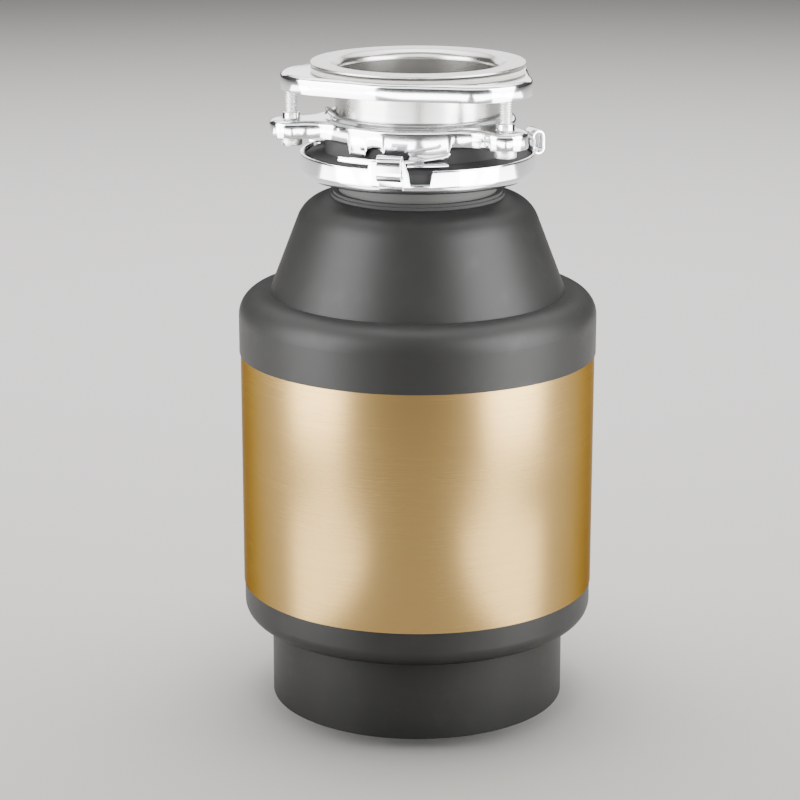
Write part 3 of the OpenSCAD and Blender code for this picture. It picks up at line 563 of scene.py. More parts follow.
class Mesher:
    """Makes meshes from rows of points."""

    @staticmethod
    def piece(name: str, shells: Iterable[bmesh.types.BMesh], sharp: float = 40.0) -> bpy.types.Object:
        """Makes one object from finished shells.

        Args:
            name: The object's name.
            shells: Its meshes. They are freed.
            sharp: Edges that turn more than this, in degrees, stay sharp.

        Returns:
            The object, linked to the scene.
        """
        whole = bmesh.new()
        for shell in shells:
            part = bpy.data.meshes.new("part")
            shell.to_mesh(part)
            shell.free()
            whole.from_mesh(part)
            bpy.data.meshes.remove(part)
        bmesh.ops.recalc_face_normals(whole, faces=whole.faces)
        for face in whole.faces:
            face.smooth = True
        limit = math.radians(sharp)
        for edge in whole.edges:
            edge.smooth = len(edge.link_faces) != 2 or edge.calc_face_angle(0.0) < limit
        mesh = bpy.data.meshes.new(name)
        whole.to_mesh(mesh)
        whole.free()
        made = bpy.data.objects.new(name, mesh)
        bpy.context.scene.collection.objects.link(made)
        return made

    @staticmethod
    def grid(rows: Sequence[Row], rows_close: bool, ends_close: bool = True) -> bmesh.types.BMesh:
        """Joins rows of points into quads. Each row closes on itself.

        Args:
            rows: Rows with the same number of points.
            rows_close: Whether the last row joins the first.
            ends_close: Whether open ends get a face.

        Returns:
            The mesh.
        """
        mesh = bmesh.new()
        made = [[mesh.verts.new(point) for point in row] for row in rows]
        count = len(made[0])
        pairs = list(zip(made, made[1:])) + ([(made[-1], made[0])] if rows_close else [])
        for low, high in pairs:
            for i in range(count):
                j = (i + 1) % count
                mesh.faces.new((low[i], low[j], high[j], high[i]))
        if ends_close and not rows_close:
            mesh.faces.new(made[0][::-1])
            mesh.faces.new(made[-1])
        return mesh

    @staticmethod
    def lathe(
        profile: Sequence[tuple[float, float]], at: Vector, steps: int = 96, closed: bool = True
    ) -> bmesh.types.BMesh:
        """Turns a profile around a vertical axis.

        Args:
            profile: (radius, height) pairs.
            at: A point on the axis. Heights count from it.
            steps: Points around the axis.
            closed: Whether the profile is a closed loop. Otherwise its ends are capped.

        Returns:
            The mesh.
        """
        turns = [2 * math.pi * i / steps for i in range(steps)]
        rows = [[at + Vector((r * math.cos(a), r * math.sin(a), z)) for a in turns] for r, z in profile]
        return Mesher.grid(rows, closed)

    @staticmethod
    def sweep(
        path: Sequence[Vector], section: Sequence[tuple[float, float]], up: Vector, tip: float = 0.0
    ) -> bmesh.types.BMesh:
        """Carries a section along a path without twisting it.

        Args:
            path: Points of the path.
            section: (along up, across up) pairs around the section.
            up: The first direction of the section at the start.
            tip: Length over which each end is rounded off.

        Returns:
            The mesh, closed at both ends.
        """
        last = len(path) - 1
        tangents = [(path[min(i + 1, last)] - path[max(i - 1, 0)]).normalized() for i in range(last + 1)]
        lift = (up - tangents[0] * up.dot(tangents[0])).normalized()
        rows, ends = [], (0, last)
        for i, (point, tangent) in enumerate(zip(path, tangents)):
            if i:
                lift = (tangents[i - 1].rotation_difference(tangent) @ lift).normalized()
            side = tangent.cross(lift)
            shapes = [(1.0, 0.0)]
            if tip and i in ends:
                way = -1.0 if i == 0 else 1.0
                shapes = [(1.0, 0.0), (0.93, 0.35 * tip * way), (0.7, 0.8 * tip * way), (0.35, tip * way)]
                shapes = shapes[::-1] if i == 0 else shapes
            for scale, reach in shapes:
                middle = point + tangent * reach
                rows.append([middle + (lift * u + side * v) * scale for u, v in section])
        return Mesher.grid(rows, False)

    @staticmethod
    def bar(tall: float, wide: float, corner: float, steps: int = 3) -> list[tuple[float, float]]:
        """Returns the section of a bar with round corners, as pairs around it."""
        points = []
        for start, (u, v) in zip((0, 90, 180, 270), ((1, 1), (-1, 1), (-1, -1), (1, -1))):
            for i in range(steps + 1):
                a = math.radians(start + 90 * i / steps)
                along, across = u * (tall / 2 - corner), v * (wide / 2 - corner)
                points.append((along + corner * math.cos(a), across + corner * math.sin(a)))
        return points

    @staticmethod
    def cut(target: bpy.types.Object, tools: Sequence[bpy.types.Object]) -> None:
        """Takes the tools' shapes out of a piece and removes the tools."""
        for tool in tools:
            step = target.modifiers.new("cut", "BOOLEAN")
            step.operation, step.solver, step.object = "DIFFERENCE", "EXACT", tool
        graph = bpy.context.evaluated_depsgraph_get()
        result = bpy.data.meshes.new_from_object(target.evaluated_get(graph), depsgraph=graph)
        target.modifiers.clear()
        old, target.data = target.data, result
        bpy.data.meshes.remove(old)
        for tool in tools:
            bpy.data.objects.remove(tool)


def polar(radius: float, degrees: float, height: float = 0.0) -> Vector:
    """Returns the point at a radius, an angle and a height."""
    a = math.radians(degrees)
    return Vector((radius * math.cos(a), radius * math.sin(a), height))


def off_angle(degrees: float, middle: float) -> float:
    """Returns the signed angle from a middle direction, from -180 to 180."""
    return (degrees - middle + 180.0) % 360.0 - 180.0


def rise(value: float, edge: float, width: float) -> float:
    """Returns a smooth step from 0 to 1 around an edge."""
    share = min(max((value - edge) / width + 0.5, 0.0), 1.0)
    return share * share * (3 - 2 * share)


class Assembly:
    """What all the sub-assemblies share."""

    coats: ClassVar[dict[str, Coat]] = {}

    def build(self) -> list[bpy.types.Object]:
        """Builds the pieces that stand for CAD nodes. Many assemblies have none."""
        return []

    @staticmethod
    def place(piece: bpy.types.Object, body: str, coat: Coat, *stands_for: str) -> bpy.types.Object:
        """Dresses a new piece and ties it to the frame.

        Args:
            piece: The piece.
            body: The body that it rides on.
            coat: Its finish, whose name is its slot in the record.
            stands_for: CAD nodes that it replaces.

        Returns:
            The piece.
        """
        piece.data.materials.clear()
        piece.data.materials.append(coat.value.material())
        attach(piece, body)
        if stands_for:
            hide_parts(*stands_for)
        return piece

    def dress(self) -> None:
        """Gives each CAD node that stays its finish."""
        for name, coat in self.coats.items():
            node = FRAME["nodes"][name]
            material = coat.value.material()
            for slot in node.material_slots:
                slot.material = material
            if not node.material_slots:
                node.data.materials.append(material)
            LOG.info("dressed %s in %s", name, material.name)

    def finish(self) -> None:
        """Builds the new pieces, dresses the CAD nodes, and reports each piece."""
        for piece in self.build():
            LOG.info("built %s with %d faces", piece.name, len(piece.data.polygons))
        self.dress()


# ---- Sink mount ----


@dataclass
class LobedPlate:
    """A pressed plate with three lobes, a round hole and a skirt turned down around its edge."""

    hub: float
    lobe: float
    reach: float
    blend: float
    first: float
    top: float
    hole: float
    skirt: float = 9.0 * MM
    sheet: float = 1.5 * MM
    bend: float = 2.6 * MM
    rim: float = 0.0
    rim_width: float = 3.0 * MM

    def outline(self, inset: float) -> Row:
        """Returns the points around the plate, moved inwards by an inset."""
        far = self.hub + self.blend
        between = far**2 + self.reach**2 - (self.lobe + self.blend) ** 2
        side = math.degrees(math.acos(between / (2 * far * self.reach)))
        turn = math.degrees(math.atan2(polar(far, side).y, polar(far, side).x - self.reach))
        points: Row = []

        def arc(centre: Vector, radius: float, start: float, end: float, count: int) -> None:
            """Adds points along an arc, without its end."""
            points.extend(centre + polar(radius, start + (end - start) * i / count) for i in range(count))

        for k in range(3):
            a = self.first + 120.0 * k
            arc(polar(far, a - side), self.blend + inset, a - side + 180, a - turn + 180, 60)
            arc(polar(self.reach, a), self.lobe - inset, a - turn, a + turn, 60)
            arc(polar(far, a + side), self.blend + inset, a + turn + 180, a + side + 180, 60)
            arc(Vector(), self.hub - inset, a + side, a + 120 - side, 140)
        return points

    def skirt_foot(self, degrees: float) -> float:
        """Returns the height of the skirt's lower edge in a direction."""
        return self.top - self.skirt

    def rows(self) -> list[Row]:
        """Returns the rows around the sheet's section, from the outer skirt over the top and back."""
        edge = self.outline(0.0)
        angles = [math.degrees(math.atan2(p.y, p.x)) for p in edge]
        feet = [self.skirt_foot(a) for a in angles]
        rows: list[Row] = []

        def skirt_row(inset: float, above: float) -> None:
            """Adds a row on the skirt, a height above its lower edge."""
            rows.append([Vector((p.x, p.y, z + above)) for p, z in zip(self.outline(inset), feet)])

        def level_row(inset: float, height: float) -> None:
            """Adds a row at one height."""
            rows.append([Vector((p.x, p.y, height)) for p in self.outline(inset)])

        def round_row(radius: float, height: float) -> None:
            """Adds a row on a circle."""
            rows.append([polar(radius, a, height) for a in angles])

        soft = 0.25 * MM
        skirt_row(soft, 0.0)
        skirt_row(0.3 * soft, 0.3 * soft)
        skirt_row(0.0, soft)
        for i in range(9):
            a = math.radians(90.0 * i / 8)
            level_row(self.bend * (1 - math.cos(a)), self.top - self.bend * (1 - math.sin(a)))
        if self.rim:
            round_row(self.hole + self.rim_width + 1.2 * MM, self.top)
            for i in range(9):
                share = i / 8
                lift = rise(share, 0.5, 1.0)
                round_row(self.hole + 0.9 * MM + self.rim_width * (1 - share), self.top + self.rim * lift)
            round_row(self.hole + 0.3 * MM, self.top + self.rim - 0.05 * MM)
            round_row(self.hole, self.top + self.rim - 0.4 * MM)
        else:
            round_row(self.hole + soft, self.top)
            round_row(self.hole, self.top - soft)
        under = self.top - self.sheet
        round_row(self.hole, under + soft)
        round_row(self.hole + soft, under)
        inner = self.bend - self.sheet
        for i in range(7):
            a = math.radians(90.0 - 90.0 * i / 6)
            level_row(self.bend - inner * math.cos(a), self.top - self.bend + inner * math.sin(a))
        skirt_row(self.sheet, soft)
        skirt_row(self.sheet - 0.3 * soft, 0.3 * soft)
        skirt_row(self.sheet - soft, 0.0)
        return rows

    def shell(self) -> bmesh.types.BMesh:
        """Returns the plate's mesh."""
        return Mesher.grid(self.rows(), True)


@dataclass
class TabbedPlate(LobedPlate):
    """A lobed plate whose skirt is deeper at three tabs, each with an arched notch."""

    tabs: tuple[float, ...] = ()
    tab_half: float = 30.5
    tab_foot: float = 0.0
    notch_off: float = -13.0
    notch: float = 5.6 * MM

    def skirt_foot(self, degrees: float) -> float:
        """Returns the height of the skirt's lower edge in a direction."""
        foot = self.top - self.skirt
        for middle in self.tabs:
            off = off_angle(degrees, middle)
            inside = rise(off, -self.tab_half, 2.4) * (1 - rise(off, self.tab_half, 2.4))
            foot += inside * (self.tab_foot - (self.top - self.skirt))
            across = math.radians(off - self.notch_off) * self.hub
            if abs(across) < self.notch:
                foot = max(foot, self.tab_foot + math.sqrt(self.notch**2 - across**2) * 0.98)
        return foot


@dataclass
class ThreadedScrew:
    """A slotted mounting screw with a rolled thread."""

    foot: float
    tip: float
    radius: float = 3.2 * MM
    head_radius: float = 5.75 * MM
    head_height: float = 5.0 * MM
    pitch: float = 1.27 * MM
    depth: float = 0.62 * MM
    slot_width: float = 1.6 * MM
    slot_depth: float = 1.8 * MM
    around: int = 36

    def thread(self, at: Vector) -> bmesh.types.BMesh:
        """Returns the threaded shank, from inside the head up to the tip."""
        steps = 9
        count = int((self.tip - self.foot) / self.pitch * steps)
        rows = []
        for k in range(count + 1):
            height = self.foot + (self.tip - self.foot) * k / count
            fade = min((self.tip - height) / (1.2 * MM), 1.0)
            row = []
            for i in range(self.around):
                turn = (height / self.pitch - i / self.around) % 1.0
                valley = 1 - min(abs(turn - 0.5) * 2.6, 1.0)
                radius = self.radius - self.depth * valley - 0.8 * MM * (1 - fade)
                row.append(at + polar(radius, 360.0 * i / self.around, height))
            rows.append(row)
        return Mesher.grid(rows, False)

    def head(self, at: Vector) -> bmesh.types.BMesh:
        """Returns the head, with a chamfer below and a washer face above."""
        r, low, high = self.head_radius, self.foot - self.head_height, self.foot
        profile = [
            (0.4 * r, low), (r - 0.9 * MM, low), (r - 0.35 * MM, low + 0.12 * MM), (r, low + 0.7 * MM),
            (r, high - 1.0 * MM), (r - 0.15 * MM, high - 0.7 * MM), (r - 0.5 * MM, high - 0.5 * MM),
            (r - 0.5 * MM, high - 0.1 * MM), (r - 0.6 * MM, high), (self.radius - 0.5 * MM, high),
        ]
        return Mesher.lathe(profile, at, 64, False)

    def make(self, name: str, at: Vector, turn: float) -> bpy.types.Object:
        """Returns the whole screw.

        Args:
            name: The piece's name.
            at: A point on its axis, at height 0.
            turn: Direction of the slot, in degrees.

        Returns:
            The piece.
        """
        screw = Mesher.piece(name, [self.head(at)])
        blade = bmesh.new()
        bmesh.ops.create_cube(blade, size=1.0)
        size = (4 * self.head_radius, self.slot_width, 2 * self.slot_depth)
        low = Vector((at.x, at.y, self.foot - self.head_height))
        swing = Matrix.Rotation(math.radians(turn), 4, "Z")
        place = Matrix.Translation(low) @ swing @ Matrix.Diagonal((*size, 1.0))
        bmesh.ops.transform(blade, matrix=place, verts=blade.verts)
        Mesher.cut(screw, [Mesher.piece("blade", [blade])])
        shank = Mesher.piece("shank", [self.thread(at)])
        joined = bmesh.new()
        joined.from_mesh(screw.data)
        rod = bmesh.new()
        rod.from_mesh(shank.data)
        for made in (screw, shank):
            bpy.data.objects.remove(made)
        return Mesher.piece(name, [joined, rod], 32.0)


@dataclass
class LockingRing:
    """The lower mounting ring: a pressed dish with three lugs, ramps and tool loops."""

    floor: float
    top: float
    radius: float = 62.6 * MM
    hole: float = 45.6 * MM
    corner: float = 5.0 * MM
    sheet: float = 1.5 * MM
    lugs: tuple[float, ...] = (257.0, 17.0, 137.0)
    wall: tuple[float, float] = (-11.0, 7.0)
    tongue: float = -29.0
    tongue_height: float = 2.8 * MM
    raised: float = 5.0 * MM
    window: tuple[float, float] = (8.5, 19.0)
    window_depth: float = 7.0 * MM
    ramp_span: float = 21.5
    ramp_lean: float = 8.0
    loop_width: float = 13.0 * MM
    loop_radius: float = 3.7 * MM
    loop_half: float = 3.0 * MM
    loop_rise: float = 1.6 * MM

    def wall_top(self, degrees: float) -> float:
        """Returns the height of the wall's upper edge in a direction."""
        top = self.top
        for middle in self.lugs:
            off = off_angle(degrees, middle)
            top += self.raised * rise(off, self.wall[0], 1.6) * (1 - rise(off, self.wall[1], 1.6))
            top -= self.window_depth * rise(off, self.window[0], 1.4) * (1 - rise(off, self.window[1], 1.4))
        return top

    def dish(self) -> bmesh.types.BMesh:
        """Returns the dish with its stepped wall."""
        steps = 900
        angles = [360.0 * i / steps for i in range(steps)]
        tops = [self.wall_top(a) for a in angles]
        rows: list[Row] = []

        def level(radius: float, height: float) -> None:
            """Adds a row at one height."""
            rows.append([polar(radius, a, height) for a in angles])

        def edge(radius: float, below: float) -> None:
            """Adds a row that follows the wall's upper edge."""
            rows.append([polar(radius, a, top - below) for a, top in zip(angles, tops)])

        soft, r, low = 0.25 * MM, self.radius, self.floor
        level(self.hole + soft, low + self.sheet)
        level(self.hole, low + self.sheet - soft)
        level(self.hole, low + soft)
        level(self.hole + soft, low)
        for i in range(11):
            a = math.radians(90.0 * i / 10)
            level(r - self.corner * (1 - math.sin(a)), low + self.corner * (1 - math.cos(a)))
        edge(r, 1.0 * MM)
        edge(r, soft)
        edge(r - 0.3 * soft, 0.3 * soft)
        edge(r - soft, 0.0)
        edge(r - self.sheet + soft, 0.0)
        edge(r - self.sheet + 0.3 * soft, 0.3 * soft)
        edge(r - self.sheet, soft)
        edge(r - self.sheet, 1.0 * MM)
        inner = self.corner - self.sheet
        for i in range(9):
            a = math.radians(90.0 - 90.0 * i / 8)
            level(r - self.corner + inner * math.sin(a), low + self.corner - inner * math.cos(a))
        return Mesher.grid(rows, True)

    def tongue_bar(self, lug: float) -> bmesh.types.BMesh:
        """Returns the tongue that stands out from a lug's raised wall."""
        middle = self.radius - self.sheet / 2
        height = self.top + self.raised - self.tongue_height / 2
        start, end = lug + self.tongue + 0.6, lug + self.wall[0] + 1.5
        path = [polar(middle, start + (end - start) * i / 24, height) for i in range(25)]
        section = Mesher.bar(self.tongue_height, self.sheet, 0.4 * MM)
        return Mesher.sweep(path, section, Vector((0, 0, 1)), 0.6 * MM)

    def ramp(self, lug: float) -> bmesh.types.BMesh:
        """Returns the ramp that rises from a lug's raised wall, with its end turned up."""
        inner = 59.3 * MM
        middle, width = (self.radius + inner) / 2, self.radius - inner
        start = lug + self.wall[1] - 2.5
        slope = math.tan(math.radians(self.ramp_lean))
        path = []
        for i in range(41):
            turn = (self.ramp_span + 1.5) * i / 40
            run = math.radians(max(turn - 1.5, 0.0)) * middle
            curl = max(turn - self.ramp_span + 1.2, 0.0)
            height = self.top + self.raised - self.sheet / 2 + run * slope + 0.16 * MM * curl**2
            path.append(polar(middle, start + turn, height))
        return Mesher.sweep(path, Mesher.bar(self.sheet, width, 0.45 * MM), Vector((0, 0, 1)), 0.5 * MM)

    def loop(self, lug: float) -> bmesh.types.BMesh:
        """Returns the strap on a lug and the loop into which it curls, for the tool that turns the ring."""
        mean = self.loop_radius - self.sheet / 2
        near = self.radius + 0.25 * MM
        centre, middle = near + mean, self.top + self.loop_rise
        foot = self.floor + 3.2 * MM
        line = [(near - 0.4 * MM, foot), (near, foot + 2 * MM), (near, middle - self.loop_half)]
        line += [(near, middle - self.loop_half + 2 * self.loop_half * i / 4) for i in range(1, 5)]
        over = [math.radians(180 * i / 12) for i in range(1, 13)]
        line += [(centre - mean * math.cos(a), middle + self.loop_half + mean * math.sin(a)) for a in over]
        line += [(centre + mean, middle + self.loop_half - 2 * self.loop_half * i / 4) for i in range(1, 5)]
        under = [math.radians(150 * i / 10) for i in range(1, 11)]
        line += [(centre + mean * math.cos(a), middle - self.loop_half - mean * math.sin(a)) for a in under]
        path = [polar(r, lug, z) for r, z in line]
        across = polar(1.0, lug + 90)
        return Mesher.sweep(path, Mesher.bar(self.loop_width, self.sheet, 0.45 * MM), across, 0.25 * MM)

    def make(self, name: str) -> bpy.types.Object:
        """Returns the whole ring."""
        shells = [self.dish()]
        for lug in self.lugs:
            shells += [self.tongue_bar(lug), self.ramp(lug), self.loop(lug)]
        return Mesher.piece(name, shells, 34.0)


@dataclass
class SinkMount(Assembly):
    """The flange in the sink and the hardware that clamps it and carries the disposer."""

    coats: ClassVar[dict[str, Coat]] = {
        "sink_flange": Coat.brushed_flange,
        "sink_gasket": Coat.fibre_gasket,
        "mounting_gasket": Coat.black_rubber,
    }
    sheet: float = 1.5 * MM
    screw_angles: tuple[float, ...] = (191.0, 311.0, 71.0)
    screw_names: tuple[str, ...] = ("left", "right", "rear")
    lug_angles: tuple[float, ...] = (257.0, 17.0, 137.0)
    ring_radius: float = 62.6 * MM
    tube_radius: float = 43.8 * MM
    wire: float = 1.2 * MM
    flaps: int = 8
    screw_circle: float = 67.7 * MM
    ring_floor: float = field(init=False)
    ring_top: float = field(init=False)
    upper_top: float = field(init=False)
    backup_top: float = field(init=False)

    def __post_init__(self) -> None:
        """Takes the levels from the packed model."""
        self.ring_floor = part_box("lower_mounting_ring")[0].z
        self.ring_top = self.ring_floor + 13.0 * MM
        self.upper_top = (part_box("snap_ring")[0].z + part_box("snap_ring")[1].z) / 2
        self.backup_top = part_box("backup_flange")[1].z

    def backup_flange(self) -> bpy.types.Object:
        """Returns the flange under the sink, against which the screws press."""
        plate = LobedPlate(
            hub=58.0 * MM, lobe=32.0 * MM, reach=41.0 * MM, blend=400.0 * MM,
            first=self.screw_angles[0], top=self.backup_top, hole=self.tube_radius + 0.9 * MM,
        )
        made = Mesher.piece("backup_flange_pressed", [plate.shell()], 34.0)
        return self.place(made, "root", Coat.bright_chrome, "backup_flange")

    def collar(self, at: Vector) -> bmesh.types.BMesh:
        """Returns the threaded collar drawn up from the upper ring around a screw."""
        top, inner, outer = self.upper_top, 3.25 * MM, 4.5 * MM
        profile = [
            (inner, top - self.sheet + 0.1 * MM), (outer + 1.3 * MM, top - self.sheet + 0.2 * MM),
            (outer + 1.3 * MM, top - 0.05 * MM), (outer + 1.0 * MM, top + 0.06 * MM),
            (outer + 0.4 * MM, top + 0.3 * MM), (outer, top + 0.9 * MM),
            (outer, top + 3.1 * MM), (outer - 0.15 * MM, top + 3.4 * MM), (outer - 0.45 * MM, top + 3.5 * MM),
            (inner + 0.2 * MM, top + 3.5 * MM), (inner, top + 3.2 * MM),
        ]
        return Mesher.lathe(profile, at, 48)

    def upper_ring(self) -> bpy.types.Object:
        """Returns the upper ring with its tabs, screw collars and feet."""
        plate = TabbedPlate(
            hub=52.0 * MM, lobe=11.5 * MM, reach=self.screw_circle, blend=20.0 * MM,
            first=self.screw_angles[0], top=self.upper_top, hole=self.tube_radius + 2.2 * MM,
            rim=1.4 * MM, tabs=self.lug_angles, tab_foot=self.ring_top + 4.0 * MM,
        )
        ring = Mesher.piece("upper_ring_pressed", [plate.shell()], 34.0)
        drills = []
        for a in self.screw_angles:
            at = polar(self.screw_circle, a)
            hole = [(3.25 * MM, self.upper_top - 4 * MM), (3.25 * MM, self.upper_top + 4 * MM)]
            drills.append(Mesher.piece("drill", [Mesher.lathe(hole, at, 48, False)]))
        Mesher.cut(ring, drills)
        shells = [bmesh.new()]
        shells[0].from_mesh(ring.data)
        bpy.data.objects.remove(ring)
        shells += [self.collar(polar(self.screw_circle, a)) for a in self.screw_angles]
        for lug in self.lug_angles:
            shells += self.foot(lug)
        made = Mesher.piece("upper_ring_pressed", shells, 34.0)
        return self.place(made, "root", Coat.bright_chrome, "upper_mounting_ring")

    def foot(self, lug: float) -> list[bmesh.types.BMesh]:
        """Returns the turned-out foot under a tab, on which the ramp bears, and the web that joins them."""
        level = self.ring_top + 2.15 * MM
        web_radius, foot_radius = 51.2 * MM, 55.6 * MM
        web_level = (level + self.ring_top + 5 * MM) / 2
        web = [polar(web_radius, lug + 8 + 8 * i / 12, web_level) for i in range(13)]
        foot = [polar(foot_radius, lug + 7.5 + 20 * i / 24, level) for i in range(25)]
        up = Vector((0, 0, 1))
        return [
            Mesher.sweep(web, Mesher.bar(5.0 * MM, 0.9 * MM, 0.2 * MM), up),
            Mesher.sweep(foot, Mesher.bar(self.sheet, 9.6 * MM, 0.4 * MM), up, 0.4 * MM),
        ]

    def snap_ring(self) -> bpy.types.Object:
        """Returns the spring wire in the tube's groove, with both ends curled away from the tube."""
        radius, gap, flat, turned = self.tube_radius + 0.7 * MM, 14.0, 6.0, 7.0
        out, up, steps = 3.4 * MM, 3.2 * MM, 14
        start, end = 180.0 + gap + flat, 540.0 - flat

        def curl(share: float, degrees: float) -> Vector:
            """Returns a point on a curled end, from 0 where it leaves the tube to 1 at its tip."""
            return polar(radius + out * share**2, degrees, self.upper_top + up * share**1.5)

        shares = [i / steps for i in range(steps + 1)]
        path = [curl(1 - share, start - turned * (1 - share)) for share in shares]
        path += [polar(radius, start + (end - start) * i / 200, self.upper_top) for i in range(1, 200)]
        path += [curl(share, end + turned * share) for share in shares]
        turns = [2 * math.pi * i / 14 for i in range(14)]
        round_wire = [(self.wire * math.cos(a), self.wire * math.sin(a)) for a in turns]
        shell = Mesher.sweep(path, round_wire, Vector((0, 0, 1)), 0.8 * MM)
        made = Mesher.piece("snap_ring_wire", [shell], 60.0)
        return self.place(made, "root", Coat.spring_steel, "snap_ring")

    def baffle(self) -> bpy.types.Object:
        """Returns the rubber splash guard, whose flaps sag towards the middle."""
        low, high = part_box("splash_baffle")
        outer = high.x
        rim = [
            (outer - 3 * MM, low.z), (outer - 0.3 * MM, low.z), (outer, low.z + 0.3 * MM),
            (outer, high.z - 0.8 * MM), (outer - 0.8 * MM, high.z), (outer - 2.2 * MM, high.z),
            (outer - 3 * MM, high.z - 0.8 * MM),
        ]
        shells = [Mesher.lathe(rim, Vector(), 128)]
        tip, root, thick = 6.5 * MM, outer - 2.6 * MM, 1.4 * MM
        slit, droop, bulge = 0.45 * MM, 5.5 * MM, 1.6 * MM
        for k in range(self.flaps):
            rows = []
            for i in range(13):
                share = i / 12
                radius = root + (tip - root) * share
                half = math.degrees(math.radians(180.0 / self.flaps) - slit / radius)
                sag = droop * share**1.7
                across = [half * (2 * j / 10 - 1) for j in range(11)]
                crown = [bulge * share * (1 - (b / half) ** 2) for b in across]
                middle = 360.0 * (k + 0.5) / self.flaps
                upper = [polar(radius, middle + b, low.z + thick - sag + c) for b, c in zip(across, crown)]
                under = [Vector((p.x, p.y, p.z - thick)) for p in upper]
                rows.append(upper + under[::-1])
            shells.append(Mesher.grid(rows, False))
        made = Mesher.piece("splash_baffle_moulded", shells)
        return self.place(made, "root", Coat.black_rubber, "splash_baffle")

    def build(self) -> list[bpy.types.Object]:
        """Returns the pressed, threaded and moulded pieces of the mount."""
        made = [self.backup_flange(), self.upper_ring(), self.snap_ring(), self.baffle()]
        tip = self.backup_top - self.sheet - 0.4 * MM
        screw = ThreadedScrew(self.upper_top - 9 * MM, tip)
        for name, angle in zip(self.screw_names, self.screw_angles):
            at = polar(self.screw_circle, angle)
            piece = screw.make(f"mounting_screw_{name}_threaded", at, angle + 35)
            made.append(self.place(piece, f"screw_{name}", Coat.zinc_screws, f"mounting_screw_{name}"))
        ring = LockingRing(self.ring_floor, self.ring_top, self.ring_radius, lugs=self.lug_angles)
        piece = ring.make("lower_ring_pressed")
        made.append(self.place(piece, "mount_ring", Coat.bright_chrome, "lower_mounting_ring"))
        return made


# ---- The rest of the disposer ----


@dataclass
class OuterBody(Assembly):
    """The covers, the metal sleeve and the base."""

    coats: ClassVar[dict[str, Coat]] = {
        "top_cover": Coat.dark_plastic,
        "sleeve": Coat.champagne_sleeve,
        "lower_band": Coat.dark_plastic,
        "base_cover": Coat.dark_plastic,
        "neck_grommet": Coat.black_rubber,
        "base_screws": Coat.zinc_screws,
        "wiring_cover": Coat.zinc_plate,
        "wiring_cover_screw": Coat.zinc_screws,
        "cable_bushing": Coat.black_plastic,
        "reset_button": Coat.red_plastic,
    }


@dataclass
class GrindSection(Assembly):
    """The chamber, its jacket and what turns in it."""

    coats: ClassVar[dict[str, Coat]] = {
        "grind_chamber": Coat.chamber_plastic,
        "sound_jacket": Coat.grey_foam,
        "chamber_seal": Coat.black_rubber,
        "chamber_screws": Coat.zinc_screws,
        "grind_ring": Coat.stainless,
        "turntable": Coat.stainless,
        "turntable_nut": Coat.zinc_screws,
        "swivel_lug_a": Coat.stainless,
        "swivel_lug_b": Coat.stainless,
        "lug_pins": Coat.zinc_screws,
        "water_slinger": Coat.black_rubber,
        "drain_housing": Coat.cast_aluminium,
        "shaft_seal": Coat.black_rubber,
    }


@dataclass
class Motor(Assembly):
    """The motor under the chamber."""

    coats: ClassVar[dict[str, Coat]] = {
        "upper_bearing": Coat.bronze,
        "lower_bearing": Coat.bronze,
        "thrust_washer": Coat.bronze,
        "motor_shaft": Coat.zinc_plate,
        "rotor_core": Coat.lamination_steel,
        "rotor_cage": Coat.cast_aluminium,
        "stator_core": Coat.lamination_steel,
        "stator_windings": Coat.enamelled_copper,
        "lower_end_frame": Coat.cast_aluminium,
        "through_bolts": Coat.zinc_screws,
        "run_capacitor": Coat.black_plastic,
        "overload_protector": Coat.black_plastic,
    }


@dataclass
class Outlet(Assembly):
    """The discharge elbow and how it is held."""

    coats: ClassVar[dict[str, Coat]] = {
        "discharge_gasket": Coat.black_rubber,
        "discharge_elbow": Coat.black_plastic,
        "discharge_flange": Coat.zinc_plate,
        "discharge_screws": Coat.zinc_screws,
    }


# ---- Studio ----


class Lights(Enum):
    """What a lamp lights."""

    everything = "everything"
    product = "product"
    bright_parts = "bright_parts"

    def receivers(self) -> bpy.types.Collection | None:
        """Returns the pieces that the lamp lights, or None for all of the scene."""
        if self is Lights.everything:
            return None
        group = bpy.data.collections.get(self.value)
        if group is None:
            group = bpy.data.collections.new(self.value)
            shiny = {coat.value.name for coat in (Coat.bright_chrome, Coat.zinc_screws, Coat.brushed_flange)}
            for made in bpy.context.scene.objects:
                names = {slot.material.name for slot in made.material_slots if slot.material}
                if made.name != Studio.floor_name and (self is Lights.product or shiny & names):
                    group.objects.link(made)
        return group


@dataclass(frozen=True)
class Softbox:
    """A soft lamp that faces a point."""

    name: str
    at: Colour
    aim: Colour
    size: tuple[float, float]
    glow: float
    spread: float = 180.0
    lights: Lights = Lights.everything

    def make(self) -> None:
        """Adds the lamp. Its power follows from how brightly each part of it glows."""
        lamp = bpy.data.lights.new(self.name, "AREA")
        lamp.shape, (lamp.size, lamp.size_y) = "RECTANGLE", self.size
        lamp.energy = self.glow * math.pi * self.size[0] * self.size[1]
        lamp.spread = math.radians(self.spread)
        made = bpy.data.objects.new(self.name, lamp)
        made.location = self.at
        made.rotation_euler = (Vector(self.aim) - Vector(self.at)).to_track_quat("-Z", "Y").to_euler()
        made.visible_camera = False
        bpy.context.scene.collection.objects.link(made)
        if receivers := self.lights.receivers():
            made.light_linking.receiver_collection = receivers


def card(name: str, x: float, y: float, size: tuple[float, float], glow: float, lights: Lights) -> Softbox:
    """Returns a glowing card that lies on the floor and faces up."""
    return Softbox(name, (x, y, 0.012), (x, y, 1.0), size, glow, 180.0, lights)


